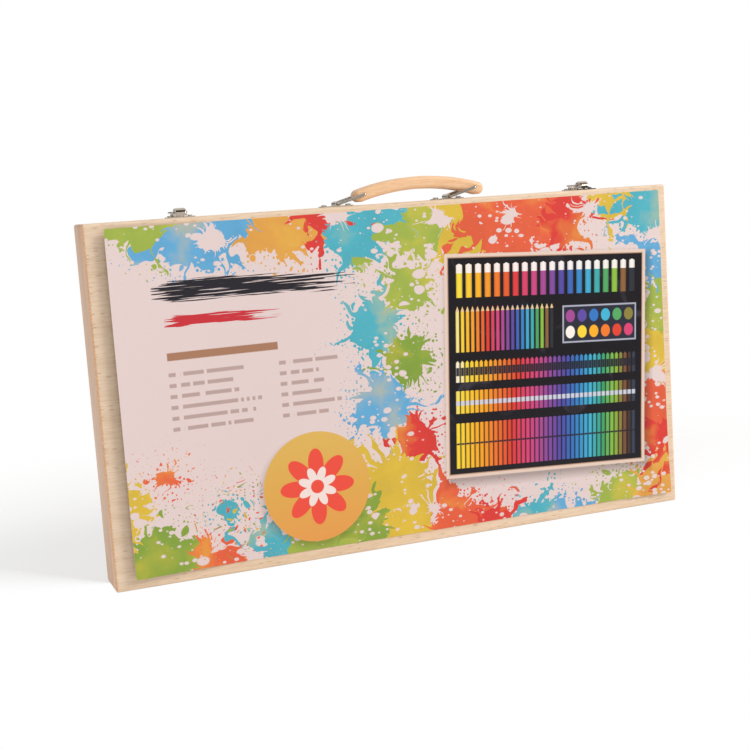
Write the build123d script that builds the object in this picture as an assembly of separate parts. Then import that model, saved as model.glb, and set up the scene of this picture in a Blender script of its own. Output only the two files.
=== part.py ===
from build123d import *
import math
import os

# An art set case, standing closed on its hinge edge. X runs along the hinge, Y from front to back and
# Z up. The lid is the front half and the base is the back half. Both halves are modelled round the
# plane where they meet, y = 0, the base towards +Y and the lid mirrored towards -Y. The export moves
# them so that the origin lies under the middle of the whole case. Every size is in millimetres.

# The wooden halves. Their length, height and depth follow from what lies in them, further down.
split_gap = 0.3
panel_t = 3.0
rail_t = 8.0
corner_lip = 3.0
edge_round = 2.0

# The lid turns this far, and a groove along the hinge edge makes room for it
open_angle = 105.0
stop_slack = 4.0
hinge_axis_z = 2.4
groove_clear = 0.4

# Butt hinges, let flush into the faces that meet
hinge_inset = 72.0
hinge_w = 30.0
knuckle_count = 5
knuckle_r = 1.8
knuckle_gap = 0.2
hinge_pin_r = 0.8
pin_clear = 0.05
leaf_t = 0.7
leaf_h = 5.0
pocket_clear = 0.4
leaf_clear = 0.1
hinge_screw_x = 9.0
hinge_screw_up = 3.4

# Screws: shank radius, and how much wider the hole is that each one sits in
screw_r = 0.7
hinge_screw_len = 8.0
countersink_r = 1.3
countersink_d = 0.6
screw_clear = 0.05
pan_screw_r = 1.0
pan_screw_len = 6.5

# Printed card on the lid's panel, standing off it along its left edge
card_t = 0.6
card_left = 15.0
card_right = 7.0
card_low = 9.0
card_high = 4.5
card_bow = 5.0
card_bow_w = 110.0
card_corner_r = 1.5

# Carrying handle on the lid's top edge
bracket_spacing = 96.4
bracket_w = 27.5
bracket_d = 11.0
bracket_t = 0.8
bracket_round = 3.0
bracket_knuckle_r = 2.1
bracket_knuckle_w = 10.0
bracket_screw_x = 10.2
bracket_head_r = 2.2
bracket_head_h = 1.1
bracket_knuckle_lift = 0.05
link_wire_r = 1.1
link_len = 23.5
link_rest_angle = 15.3
link_bend_r = 3.0
link_end_bend_r = 1.5
link_side_gap = 0.4
link_pin_depth = 4.0
link_clear = 0.08
open_pivot_clear = 0.3
grip_w = 14.0
grip_h = 10.0
grip_rise = 6.6
grip_overhang = 3.3
grip_round = 3.0

# Draw latches: each plate and lever on the lid, each catch on the base
latch_inset = 76.0
latch_plate_w = 21.0
latch_plate_d = 15.0
latch_plate_t = 0.8
plate_corner_r = 1.5
latch_screw_x = 8.0
latch_head_r = 1.7
latch_head_h = 0.9
lever_pivot_back = 2.0
lever_pivot_z = 3.2
lever_w = 9.0
lever_t = 0.8
lever_dome_r = 5.2
lever_dome_ahead = 2.2
lever_dome_z = 2.0
lever_web_ahead = 1.8
lever_boss_r = 1.8
lever_floor_z = 1.4
lever_shoulder_angle = 56.0
lever_tab_len = 2.0
lever_tab_t = 0.8
lever_edge_round = 1.4
latch_pin_r = 0.7
ear_boss_r = 1.6
ear_gap = 0.2
loop_wire_r = 0.7
loop_pivot_r = 2.4
loop_pivot_angle = 19.5
loop_side_gap = 0.25
loop_bend_r = 2.0
loop_clear = 0.06
catch_roll_y = 5.2
catch_roll_r = 1.3
catch_roll_bore = 0.5
catch_roll_w = 8.0
catch_w = 13.0
catch_back = 14.0
catch_screw_x = 4.0
catch_screw_y = 10.0
hook_gap = 0.3
hook_past = 0.8

# Vacuum-formed trays
tray_t = 0.6
tray_clear = 0.3
flange_depth = 3.5
groove_play = 0.25
pocket_play = 1.0
floor_gap = 1.0
side_margin = 15.0

# What lies in the base, in rows from the hinge edge up
base_margin = 10.0
base_top_margin = 19.0
base_row_gap = 7.0
group_gap = 22.0
small_gap = 7.0
crayon_count = 40
crayon_r = 4.6
crayon_len = 60.0
crayon_proud = 2.2
pastel_r = 4.8
pastel_len = 55.0
pastel_proud = 2.4
stick_rib = 0.7
marker_count = 20
marker_r = 6.75
marker_body_len = 67.0
marker_cap_len = 36.0
marker_rib = 4.5
marker_proud = 2.5
glue_r = 7.0
glue_body_len = 44.0
glue_cap_len = 20.0
eraser_w = 18.0
eraser_len = 42.0
eraser_t = 11.0
block_proud = 2.0

# What lies in the lid, in rows from the handle edge down
lid_margin = 18.0
lid_low_margin = 18.0
lid_row_gap = 18.0
strip_gap = 2.6
strip_row_gap = 8.5
pencil_count = 20
pencil_r = 3.7
pencil_len = 88.0
pencil_tip_len = 15.0
pencil_rib = 2.1
pencil_proud = 2.0
pen_count = 36
pen_r = 4.5
pen_body_len = 84.0
pen_cap_len = 36.0
pen_rib = 1.1
pen_proud = 2.4
pen_side_gap = 6.2
pen_group_gap = 12.0
paint_side = 6.0
paint_h = 82.0
paint_t = 10.0
paint_indent = 6.0
pan_r = 10.0
pan_t = 4.0
pan_gap = 4.0
pan_clear = 0.3
pan_margin = 1.5
pan_columns = 6
well_depth = 6.0
mix_count = 4
mix_w = 30.0
mix_h = 20.0
mix_gap = 5.5
mix_depth = 4.2
mix_margin = 6.4
ruler_w = 25.0
ruler_len = 155.0
ruler_t = 2.2
ruler_proud = 1.0
brush_r = 2.6
brush_len = 142.0
brush_proud = 1.5
sharpener_w = 16.0
sharpener_len = 25.0
sharpener_t = 11.0
clip_count = 5
clip_w = 7.0
clip_len = 28.0
clip_wire_r = 0.45
clip_gap = 1.5
clip_pocket_depth = 2.0

# Each row's width and each column's height decide how large the case must be inside
stick_pitch = 2 * (max(crayon_r, pastel_r) + groove_play) + stick_rib
marker_pitch = 2 * (marker_r + groove_play) + marker_rib
pencil_pitch = 2 * (pencil_r + groove_play) + pencil_rib
pen_pitch = 2 * (pen_r + groove_play) + pen_rib
clip_pitch = clip_w + clip_gap
pan_pitch = 2 * pan_r + pan_gap
paint_w = pan_columns * pan_pitch + 2 * paint_side
marker_len = marker_body_len + marker_cap_len
pen_len = pen_body_len + pen_cap_len
stick_row_w = crayon_count * stick_pitch + group_gap
marker_row_w = marker_count * marker_pitch + 2 * group_gap + 2 * glue_r + small_gap + eraser_w
ruler_pocket_w = ruler_w + pocket_play
pencil_groove_r = pencil_r + groove_play
brush_groove_r = brush_r + groove_play
strip_w = ruler_pocket_w + 2 * pencil_groove_r + 2 * brush_groove_r + 2 * strip_gap + pen_side_gap
pen_row_w = strip_w + pen_count * pen_pitch + pen_group_gap
row_w = max(stick_row_w, marker_row_w, pen_row_w)
base_margins = base_margin + base_top_margin + 2 * base_row_gap
base_column_h = base_margins + crayon_len + pastel_len + marker_len + 3 * pocket_play
lid_margins = lid_margin + lid_low_margin
lid_column_h = lid_margins + lid_row_gap + pencil_len + pen_len + 2 * pocket_play
strip_pieces_h = clip_len + sharpener_len + ruler_len + 3 * pocket_play
strip_column_h = lid_margins + 2 * strip_row_gap + strip_pieces_h
column_h = max(base_column_h, lid_column_h, strip_column_h)
deepest = max(2 * marker_r, 2 * glue_r) - marker_proud + groove_play + tray_t

# The wooden halves, round the trays
case_width = row_w + 2 * side_margin + 2 * rail_t
case_height = column_h + 2 * rail_t
half_inner = split_gap / 2 + flange_depth + deepest + floor_gap
half_depth = half_inner + panel_t

# Places that follow from the sizes above
hinge_x = case_width / 2 - hinge_inset
latch_x = case_width / 2 - latch_inset
latch_plate_y = half_depth / 2
handle_y = half_depth / 2
lever_pivot_y = latch_plate_y - lever_pivot_back
lever_dome_y = lever_pivot_y + lever_dome_ahead
lever_web_back = lever_pivot_y + lever_web_ahead
card_w = case_width - card_left - card_right
card_h = case_height - card_low - card_high
card_reach = card_bow + card_t
split_y = card_reach / 2
flange_y = split_gap / 2 + flange_depth
first_x = row_w / 2
ruler_x = first_x - ruler_pocket_w / 2
graphite_x = ruler_x - ruler_pocket_w / 2 - strip_gap - pencil_groove_r
brush_x = graphite_x - pencil_groove_r - strip_gap - brush_groove_r
pen_first_x = first_x - strip_w
pen_group_w = pen_count / 2 * pen_pitch
second_pens_x = pen_first_x - 1.5 * pen_group_w - pen_group_gap
pencil_first_x = second_pens_x + pencil_count * pencil_pitch / 2
paint_x = pen_first_x - paint_indent - paint_w / 2
tray_w = case_width - 2 * rail_t - 2 * tray_clear
tray_h = case_height - 2 * rail_t - 2 * tray_clear
knuckle_z = case_height + bracket_knuckle_r + bracket_knuckle_lift
wire_y = grip_w / 2 + link_side_gap + link_wire_r
loop_x = lever_w / 2 + loop_side_gap + loop_wire_r
loop_pivot_y = lever_pivot_y + loop_pivot_r * math.cos(math.radians(loop_pivot_angle))
loop_pivot_z = lever_pivot_z + loop_pivot_r * math.sin(math.radians(loop_pivot_angle))
catch_roll_z = loop_pivot_z - loop_wire_r - hook_gap - catch_roll_r
both_sides = (-1, 1)


def box(x0, x1, y0, y1, z0, z1):
    centre = Pos((x0 + x1) / 2, (y0 + y1) / 2, (z0 + z1) / 2)
    return centre * Box(abs(x1 - x0), abs(y1 - y0), abs(z1 - z0))


def rod_x(radius, length, x, y, z):
    return Pos(x, y, z) * Rot(0, 90, 0) * Cylinder(radius, length)


def rod_y(radius, length, x, y, z):
    return Pos(x, y, z) * Rot(90, 0, 0) * Cylinder(radius, length)


def side_profile(curves, width):
    # A closed outline in Y and Z, made a solid of this width along X, centred on x = 0
    return extrude(Plane.YZ * make_face(curves), amount=width / 2, both=True)


def turned(points):
    # A stick turned about its own axis, which lies along +Z from z = 0. Points are radius, height.
    outline = Polyline((0, points[0][1]), *points, (0, points[-1][1]), close=True)
    return revolve(Plane.XZ * make_face(outline), Axis.Z)


def group(solids):
    return Compound([solid for item in solids for solid in item.solids()])


def mirrored(shape):
    return mirror(shape, about=Plane.XZ)


# The wood of one half

def half_envelope():
    block = box(-case_width / 2, case_width / 2, split_gap / 2, half_depth, 0, case_height)
    outer = [edge for edge in block.edges() if edge.center().Y > split_gap / 2 + 0.01]
    return fillet(outer, edge_round)


def hinge_groove():
    # The V along the hinge edge. Each side leans back by half the opening angle.
    half_angle = math.radians((open_angle + stop_slack) / 2)
    apex = hinge_axis_z + groove_clear
    below = 1.0
    reach = (apex + below) * math.tan(half_angle)
    outline = Polyline((0, apex), (-reach, -below), (reach, -below), close=True)
    return side_profile(outline, case_width + 2)


def hinge_seat(x):
    # The room one hinge takes in the bottom rail: a round pocket and a flush recess
    barrel = rod_x(knuckle_r + pocket_clear, hinge_w + 2 * pocket_clear, x, 0, hinge_axis_z)
    side = hinge_w / 2 + leaf_clear
    top = hinge_axis_z + leaf_h + leaf_clear
    recess = box(x - side, x + side, 0, split_gap / 2 + leaf_t, hinge_axis_z, top)
    return barrel + recess


def hinge_pilots():
    z = hinge_axis_z + hinge_screw_up
    radius = screw_r + screw_clear
    length = hinge_screw_len + 2 * screw_clear
    middle = split_gap / 2 + length / 2
    places = [x + side * hinge_screw_x for x in (-hinge_x, hinge_x) for side in both_sides]
    return [rod_y(radius, length, x, middle, z) for x in places]


def half_rails(top_pilots):
    envelope = half_envelope()
    groove = hinge_groove()
    inner_x = case_width / 2 - corner_lip
    rail_boxes = {
        "bottom": box(-inner_x, inner_x, split_gap / 2, half_inner, 0, rail_t),
        "top": box(-inner_x, inner_x, split_gap / 2, half_inner, case_height - rail_t, case_height),
    }
    rails = {}
    rails["bottom_rail"] = (rail_boxes["bottom"] & envelope) - groove
    rails["bottom_rail"] -= [hinge_seat(x) for x in (-hinge_x, hinge_x)]
    rails["bottom_rail"] -= hinge_pilots()
    rails["top_rail"] = (rail_boxes["top"] & envelope) - top_pilots
    for name, side in (("left_rail", -1), ("right_rail", 1)):
        outer = side * case_width / 2
        post = box(outer, outer - side * rail_t, split_gap / 2, half_inner, 0, case_height)
        rails[name] = (post & envelope) - list(rail_boxes.values()) - groove
    return rails


def half_panel():
    plate = box(-case_width / 2, case_width / 2, half_inner, half_depth, 0, case_height)
    return plate & half_envelope()


# Hinges

def knuckle_spans(own_parity):
    pitch = hinge_w / knuckle_count
    spans = []
    for index in range(knuckle_count):
        start = -hinge_w / 2 + index * pitch
        spans.append((start, start + pitch, index % 2 == own_parity))
    return spans


def hinge_leaf(x, own_parity):
    # A flush leaf with its rolled knuckles, and the other leaf's knuckles cut clear
    z = hinge_axis_z
    leaf = box(-hinge_w / 2, hinge_w / 2, split_gap / 2, split_gap / 2 + leaf_t, z, z + leaf_h)
    for start, end, own in knuckle_spans(own_parity):
        middle = (start + end) / 2
        if own:
            leaf += rod_x(knuckle_r, end - start - knuckle_gap, middle, 0, z)
        else:
            leaf -= rod_x(knuckle_r + knuckle_gap, end - start + knuckle_gap, middle, 0, z)
    leaf -= rod_x(hinge_pin_r + pin_clear, hinge_w + 2, 0, 0, z)
    for side in both_sides:
        sink = Pos(side * hinge_screw_x, split_gap / 2, z + hinge_screw_up) * Rot(-90, 0, 0)
        wide = countersink_r + screw_clear
        hole_r = screw_r + screw_clear
        low = (Align.CENTER, Align.CENTER, Align.MIN)
        leaf -= sink * Cone(wide, hole_r, countersink_d, align=low)
        leaf -= sink * Cylinder(hole_r, 2 * leaf_t)
    return Pos(x, 0, 0) * leaf


def hinge_pin(x):
    return rod_x(hinge_pin_r, hinge_w, x, 0, hinge_axis_z)


def countersunk_screw():
    # Head at z = 0 facing -Z, shank towards +Z
    low = (Align.CENTER, Align.CENTER, Align.MIN)
    screw = Cone(countersink_r, screw_r, countersink_d, align=low)
    screw += Cylinder(screw_r, hinge_screw_len, align=low)
    slot_w = 0.3
    slot_d = 0.3
    for turn in (0, 90):
        screw -= Rot(0, 0, turn) * Pos(0, 0, slot_d / 2) * Box(1.6 * countersink_r, slot_w, slot_d)
    return screw


def hinge_screws():
    screw = countersunk_screw()
    z = hinge_axis_z + hinge_screw_up
    places = [x + side * hinge_screw_x for x in (-hinge_x, hinge_x) for side in both_sides]
    return group([Pos(x, split_gap / 2, z) * Rot(-90, 0, 0) * screw for x in places])


def pan_screw(head_r, head_h):
    # Head from z = 0 up, shank down from it
    low = (Align.CENTER, Align.CENTER, Align.MIN)
    high = (Align.CENTER, Align.CENTER, Align.MAX)
    head = Cylinder(head_r, head_h, align=low)
    head = fillet(head.edges().group_by(Axis.Z)[-1], 0.45 * head_h)
    for turn in (0, 90):
        head -= Rot(0, 0, turn) * Pos(0, 0, head_h) * Box(1.2 * head_r, 0.4, head_h)
    return head + Cylinder(pan_screw_r, pan_screw_len, align=high)


# Card

def printed_card():
    # Flat on the panel, then bowed off it towards the left edge on one long arc
    left = -case_width / 2 + card_left
    start = left + card_bow_w
    right = left + card_w
    radius = (card_bow_w ** 2 + card_bow ** 2) / (2 * card_bow)
    lift = math.asin(card_bow_w / radius)
    face = half_depth
    middle = radius * math.sin(lift / 2)
    middle_out = radius * (1 - math.cos(lift / 2))
    outer = radius - card_t
    end = (start - outer * math.sin(lift), face + radius - outer * math.cos(lift))
    outer_middle = (start - outer * math.sin(lift / 2), face + radius - outer * math.cos(lift / 2))
    profile = Polyline(end, (left, face + card_bow))
    profile += ThreePointArc((left, face + card_bow), (start - middle, face + middle_out), (start, face))
    profile += Polyline((start, face), (right, face), (right, face + card_t), (start, face + card_t))
    profile += ThreePointArc((start, face + card_t), outer_middle, end)
    sheet = extrude(Plane.XY.offset(card_low) * make_face(profile), amount=card_h)
    trim = Pos((left + right) / 2, 0, card_low + card_h / 2) * Rot(90, 0, 0)
    trim *= extrude(RectangleRounded(card_w, card_h, card_corner_r), amount=2 * half_depth, both=True)
    return sheet & trim


# Handle. Its pieces are made at the handle's own middle line, y = 0, and moved onto the lid's top.

def wire(points, radii, radius):
    path = FilletPolyline(*points, radius=radii)
    section = Plane(origin=path @ 0, z_dir=path % 0) * Circle(radius)
    return sweep(section, path=path)


def handle_place(x=0.0):
    return Pos(x, -handle_y, 0)


def link_tip(side):
    angle = math.radians(link_rest_angle)
    x = side * bracket_spacing / 2 + link_len * math.cos(angle)
    return x, knuckle_z + link_len * math.sin(angle)


def handle_bracket(side):
    plate = extrude(RectangleRounded(bracket_w, bracket_d, bracket_round), amount=bracket_t)
    bracket = Pos(0, 0, case_height) * plate
    bracket += rod_y(bracket_knuckle_r, bracket_knuckle_w, 0, 0, knuckle_z)
    half = bracket_knuckle_w / 2
    bracket += box(-bracket_knuckle_r, bracket_knuckle_r, -half, half, case_height, knuckle_z)
    bracket -= rod_y(link_wire_r + link_clear, bracket_d + 2, 0, 0, knuckle_z)
    for end in both_sides:
        hole = Cylinder(pan_screw_r + screw_clear, 4 * bracket_t)
        bracket -= Pos(end * bracket_screw_x, 0, case_height) * hole
    return handle_place(side * bracket_spacing / 2) * bracket


def handle_screw_spots():
    return [
        (side * bracket_spacing / 2 + end * bracket_screw_x, -handle_y)
        for side in both_sides
        for end in both_sides
    ]


def handle_screws():
    screw = pan_screw(bracket_head_r, bracket_head_h)
    return group([Pos(x, y, case_height + bracket_t) * screw for x, y in handle_screw_spots()])


def handle_link(side):
    # A wire bail: through the knuckle, up both sides of the grip, and in at its pivot
    inner = grip_w / 2 - link_pin_depth
    points = [
        (link_len, -inner, 0),
        (link_len, -wire_y, 0),
        (0, -wire_y, 0),
        (0, wire_y, 0),
        (link_len, wire_y, 0),
        (link_len, inner, 0),
    ]
    bail = wire(points, [link_end_bend_r, link_bend_r, link_bend_r, link_end_bend_r], link_wire_r)
    lean = Rot(0, -link_rest_angle, 0)
    return handle_place() * Pos(side * bracket_spacing / 2, 0, knuckle_z) * lean * bail


def handle_grip():
    # An arch of even height whose centre line passes through both pivots
    half_span = bracket_spacing / 2
    radius = (half_span ** 2 + grip_rise ** 2) / (2 * grip_rise)
    reach = math.degrees(math.asin(half_span / radius) + grip_overhang / radius)
    line = CenterArc((0, grip_rise - radius), radius, 90 - reach, 2 * reach)
    blank = extrude(Plane.XZ * SlotArc(line, grip_h), amount=grip_w / 2, both=True)
    faces = blank.faces().sort_by(Axis.Y)
    grip = fillet(faces[0].edges() + faces[-1].edges(), grip_round)
    grip -= rod_y(link_wire_r + link_clear, grip_w + 2, -half_span, 0, 0)
    grip -= rod_y(link_wire_r + open_pivot_clear, grip_w + 2, half_span, 0, 0)
    x, z = link_tip(-1)
    return handle_place() * Pos(x + half_span, 0, z) * grip


# Latches. Each is made at x = 0, with y counted towards the front from the split and z from the top,
# then turned to face the front and moved to its place.

def latch_place(side):
    return Pos(side * latch_x, 0, case_height)


def front(y):
    return -y


def latch_plate(side):
    blank = extrude(RectangleRounded(latch_plate_w, latch_plate_d, plate_corner_r), amount=latch_plate_t)
    plate = Pos(0, front(latch_plate_y), 0) * blank
    ear_out = lever_w / 2 - lever_t - ear_gap
    for ear in both_sides:
        inner = ear_out - lever_t
        boss = rod_x(ear_boss_r, lever_t, ear * (ear_out + inner) / 2, front(lever_pivot_y), lever_pivot_z)
        low = front(lever_pivot_y) - ear_boss_r
        post = box(ear * inner, ear * ear_out, low, low + 2 * ear_boss_r, 0, lever_pivot_z)
        plate += boss + post
    plate -= rod_x(latch_pin_r + pin_clear, lever_w, 0, front(lever_pivot_y), lever_pivot_z)
    for end in both_sides:
        hole = Cylinder(pan_screw_r + screw_clear, 4 * latch_plate_t)
        plate -= Pos(end * latch_screw_x, front(latch_plate_y), 0) * hole
    return latch_place(side) * plate


def latch_pin(side):
    pin = rod_x(latch_pin_r, lever_w - 2 * pin_clear, 0, front(lever_pivot_y), lever_pivot_z)
    return latch_place(side) * pin


def latch_screw_spots():
    return [
        (side * latch_x + end * latch_screw_x, -latch_plate_y) for side in both_sides for end in both_sides
    ]


def latch_plate_screws():
    screw = pan_screw(latch_head_r, latch_head_h)
    top = case_height + latch_plate_t
    return group([Pos(x, y, top) * screw for x, y in latch_screw_spots()])


def dome_arc(radius):
    # Quarter circle from the top of the dome down to its front
    centre_y = front(lever_dome_y)
    diagonal = radius * math.sqrt(0.5)
    top = (centre_y, lever_dome_z + radius)
    middle = (centre_y - diagonal, lever_dome_z + diagonal)
    return ThreePointArc(top, middle, (centre_y - radius, lever_dome_z))


def lever_outline():
    pivot_y = front(lever_pivot_y)
    dome_top = lever_dome_z + lever_dome_r
    dome_front = front(lever_dome_y) - lever_dome_r
    tab_end = dome_front - lever_tab_len
    shoulder = math.radians(lever_shoulder_angle)
    shoulder_z = lever_pivot_z + lever_boss_r * math.sin(shoulder)
    boss_top = (pivot_y + lever_boss_r * math.cos(shoulder), shoulder_z)
    outline = Line((front(lever_web_back), dome_top), (front(lever_dome_y), dome_top))
    outline += dome_arc(lever_dome_r)
    outline += Polyline(
        (dome_front, lever_dome_z),
        (tab_end, lever_dome_z),
        (tab_end, lever_dome_z - lever_tab_t),
        (dome_front + lever_t, lever_dome_z - lever_tab_t),
        (dome_front + 2 * lever_t, lever_floor_z),
        (pivot_y, lever_floor_z),
    )
    boss_end = (pivot_y + lever_boss_r, lever_pivot_z)
    outline += ThreePointArc((pivot_y, lever_floor_z), boss_end, boss_top)
    outline += Line(boss_top, (front(lever_web_back), dome_top))
    return outline


def lever_cavity():
    inner_r = lever_dome_r - lever_t
    inner_front = front(lever_dome_y) - inner_r
    beyond = 3.0
    back = front(lever_pivot_y) + lever_boss_r + beyond
    cavity = dome_arc(inner_r)
    cavity += Polyline(
        (inner_front, lever_dome_z),
        (inner_front, -1),
        (back, -1),
        (back, lever_dome_z + lever_dome_r + beyond),
        (front(lever_web_back), lever_dome_z + lever_dome_r + beyond),
        (front(lever_web_back), lever_dome_z + inner_r),
        (front(lever_dome_y), lever_dome_z + inner_r),
    )
    return cavity


def latch_lever(side):
    # A domed channel over the ears, with a finger tab at the front
    lever = side_profile(lever_outline(), lever_w)
    top_edges = [
        edge
        for edge in lever.edges()
        if abs(abs(edge.center().X) - lever_w / 2) < 0.01
        and edge.center().Z > lever_dome_z + 0.5
        and edge.center().Y < front(lever_web_back) - 0.1
    ]
    lever = fillet(top_edges, lever_edge_round)
    lever -= side_profile(lever_cavity(), lever_w - 2 * lever_t)
    lever -= rod_x(latch_pin_r + pin_clear, lever_w + 2, 0, front(lever_pivot_y), lever_pivot_z)
    lever -= rod_x(loop_wire_r + loop_clear, lever_w + 2, 0, front(loop_pivot_y), loop_pivot_z)
    return latch_place(side) * lever


def loop_bar_y():
    return catch_roll_y + hook_past


def latch_loop(side):
    # A wire loop from the lever's cheeks back over the split to the catch
    inner = lever_w / 2 - lever_t + 0.05
    bend = loop_x - lever_w / 2
    points = [
        (inner, front(loop_pivot_y), loop_pivot_z),
        (loop_x, front(loop_pivot_y), loop_pivot_z),
        (loop_x, loop_bar_y(), loop_pivot_z),
        (-loop_x, loop_bar_y(), loop_pivot_z),
        (-loop_x, front(loop_pivot_y), loop_pivot_z),
        (-inner, front(loop_pivot_y), loop_pivot_z),
    ]
    return latch_place(side) * wire(points, [bend, loop_bend_r, loop_bend_r, bend], loop_wire_r)


def latch_catch(side):
    # A plate whose front edge is rolled up into the bar that the loop hooks over
    low = catch_roll_y - catch_roll_r
    depth = catch_back - low
    blank = extrude(RectangleRounded(catch_w, depth, plate_corner_r), amount=latch_plate_t)
    catch = Pos(0, low + depth / 2, 0) * blank
    roll = rod_x(catch_roll_r, catch_roll_w, 0, catch_roll_y, catch_roll_z)
    half = catch_roll_w / 2
    foot = box(-half, half, catch_roll_y - catch_roll_r, catch_roll_y, 0, catch_roll_z)
    catch += roll + foot
    catch -= rod_x(catch_roll_bore, catch_w, 0, catch_roll_y, catch_roll_z)
    for end in both_sides:
        hole = Cylinder(pan_screw_r + screw_clear, 4 * latch_plate_t)
        catch -= Pos(end * catch_screw_x, catch_screw_y, 0) * hole
    return latch_place(side) * catch


def catch_screw_spots():
    return [
        (side * latch_x + end * catch_screw_x, catch_screw_y) for side in both_sides for end in both_sides
    ]


def catch_screws():
    screw = pan_screw(latch_head_r, latch_head_h)
    return group([Pos(x, y, case_height + latch_plate_t) * screw for x, y in catch_screw_spots()])


def pilots(spots, plate_t):
    # Holes in a top rail for pan screws that stand on a plate
    depth = pan_screw_len - plate_t + screw_clear
    hole = Cylinder(pan_screw_r + screw_clear, 2 * depth)
    return [Pos(x, y, case_height) * hole for x, y in spots]


# Trays. A pocket is an outline in X and Y, and the span of Z that it runs along.

def groove_centre(radius, proud):
    return flange_y + radius - proud


def groove_outline(xs, radius, centre_y, top_y):
    rounds = [Pos(x, centre_y) * Circle(radius) for x in xs]
    necks = [Pos(x, (centre_y + top_y) / 2) * Rectangle(2 * radius, centre_y - top_y) for x in xs]
    return Sketch() + rounds + necks


def groove_pocket(xs, radius, proud, z, length):
    # One round-bottomed groove for each stick of a row
    centre_y = groove_centre(radius, proud)
    inner_r = radius + groove_play
    above = 1.0
    inner = groove_outline(xs, inner_r, centre_y, flange_y - above)
    outer = groove_outline(xs, inner_r + tray_t, centre_y, flange_y)
    limit = Pos(0, flange_y + half_depth) * Rectangle(case_width, 2 * half_depth)
    outer_z = (z - tray_t, z + length + pocket_play + tray_t)
    return inner, outer & limit, (z, z + length + pocket_play), outer_z


def box_pocket(x, width, depth, z, length):
    # A flat-bottomed pocket, with play all round the piece that lies in it
    above = 1.0
    wide = width + pocket_play
    bottom = flange_y + depth + groove_play
    inner = Pos(x, (bottom + flange_y - above) / 2) * Rectangle(wide, bottom - flange_y + above)
    deep = bottom + tray_t
    outer = Pos(x, (deep + flange_y) / 2) * Rectangle(wide + 2 * tray_t, deep - flange_y)
    outer_z = (z - tray_t, z + length + pocket_play + tray_t)
    return inner, outer, (z, z + length + pocket_play), outer_z


def swept_up(outline, span):
    return extrude(Plane.XY.offset(span[0]) * outline, amount=span[1] - span[0])


def tray(pockets):
    # A thin sheet: flange, skirt down to the panel, and every pocket as a skin
    half_w = tray_w / 2
    low = rail_t + tray_clear
    shell = box(-half_w, half_w, flange_y, half_inner, low, low + tray_h)
    inside_w = half_w - tray_t
    hollow_top = flange_y + tray_t
    shell -= box(-inside_w, inside_w, hollow_top, half_inner + 1, low + tray_t, low + tray_h - tray_t)
    outers = [swept_up(outer, outer_z) for inner, outer, inner_z, outer_z in pockets]
    inners = [swept_up(inner, inner_z) for inner, outer, inner_z, outer_z in pockets]
    return shell + outers - inners


def row(first_x, count, pitch):
    # Places along a row, counted towards -X from its first edge
    return [first_x - pitch * (index + 0.5) for index in range(count)]


def two_groups(first_x, count, pitch, gap):
    each = count // 2
    return row(first_x, each, pitch) + row(first_x - each * pitch - gap, each, pitch)


def laid(piece, xs, radius, proud, z):
    centre_y = groove_centre(radius, proud)
    return group([Pos(x, centre_y, z + pocket_play / 2) * piece for x in xs])


# Sticks, pens and pencils

def wax_crayon():
    paper = 0.25
    sleeve_end = crayon_len - 10
    cone_start = crayon_len - 8
    points = [
        (crayon_r - paper - 0.5, 0),
        (crayon_r - paper, 0.5),
        (crayon_r - paper, 4),
        (crayon_r, 4),
        (crayon_r, sleeve_end),
        (crayon_r - paper, sleeve_end),
        (crayon_r - paper, cone_start),
        (0.3 * crayon_r, crayon_len),
    ]
    return turned(points)


def oil_pastel():
    paper = 0.3
    sleeve_end = 0.8 * pastel_len
    points = [
        (pastel_r, 0),
        (pastel_r, sleeve_end),
        (pastel_r - paper, sleeve_end),
        (pastel_r - paper, pastel_len - 0.8),
        (pastel_r - paper - 0.8, pastel_len),
    ]
    return turned(points)


def pen_body(radius, body_len, cap_len):
    # A barrel with an end plug, then the neck and the nib that the cap covers
    neck_r = 0.66 * radius
    nib_r = 0.22 * radius
    neck_end = body_len + 0.45 * cap_len
    points = [
        (0.8 * radius, 0),
        (0.8 * radius, 2),
        (radius - 0.3, 2),
        (radius, 2.3),
        (radius, body_len),
        (neck_r, body_len),
        (neck_r, neck_end),
        (0.5 * neck_r, neck_end + 0.1 * cap_len),
        (nib_r, neck_end + 0.1 * cap_len),
        (nib_r, neck_end + 0.2 * cap_len),
        (0.4 * nib_r, neck_end + 0.25 * cap_len),
    ]
    return turned(points)


def pen_cap(radius, body_len, cap_len):
    mouth = body_len + 0.1
    end = body_len + cap_len
    bore_r = 0.66 * radius + 0.2
    points = [
        (bore_r, mouth),
        (radius, mouth),
        (radius, end - 0.3 * radius),
        (0.75 * radius, end),
    ]
    outline = Polyline(*points, (0, end), (0, end - 3), (bore_r, end - 3), close=True)
    return revolve(Plane.XZ * make_face(outline), Axis.Z)


def pencil():
    # A hexagonal stick sharpened to a point
    low = (Align.CENTER, Align.CENTER, Align.MIN)
    stick = extrude(RegularPolygon(pencil_r, 6), amount=pencil_len)
    shoulder = pencil_len - pencil_tip_len
    sharp = Cylinder(pencil_r + 1, shoulder, align=low)
    sharp += Pos(0, 0, shoulder) * Cone(pencil_r + 0.1, 0.35, pencil_tip_len, align=low)
    return stick & sharp


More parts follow.
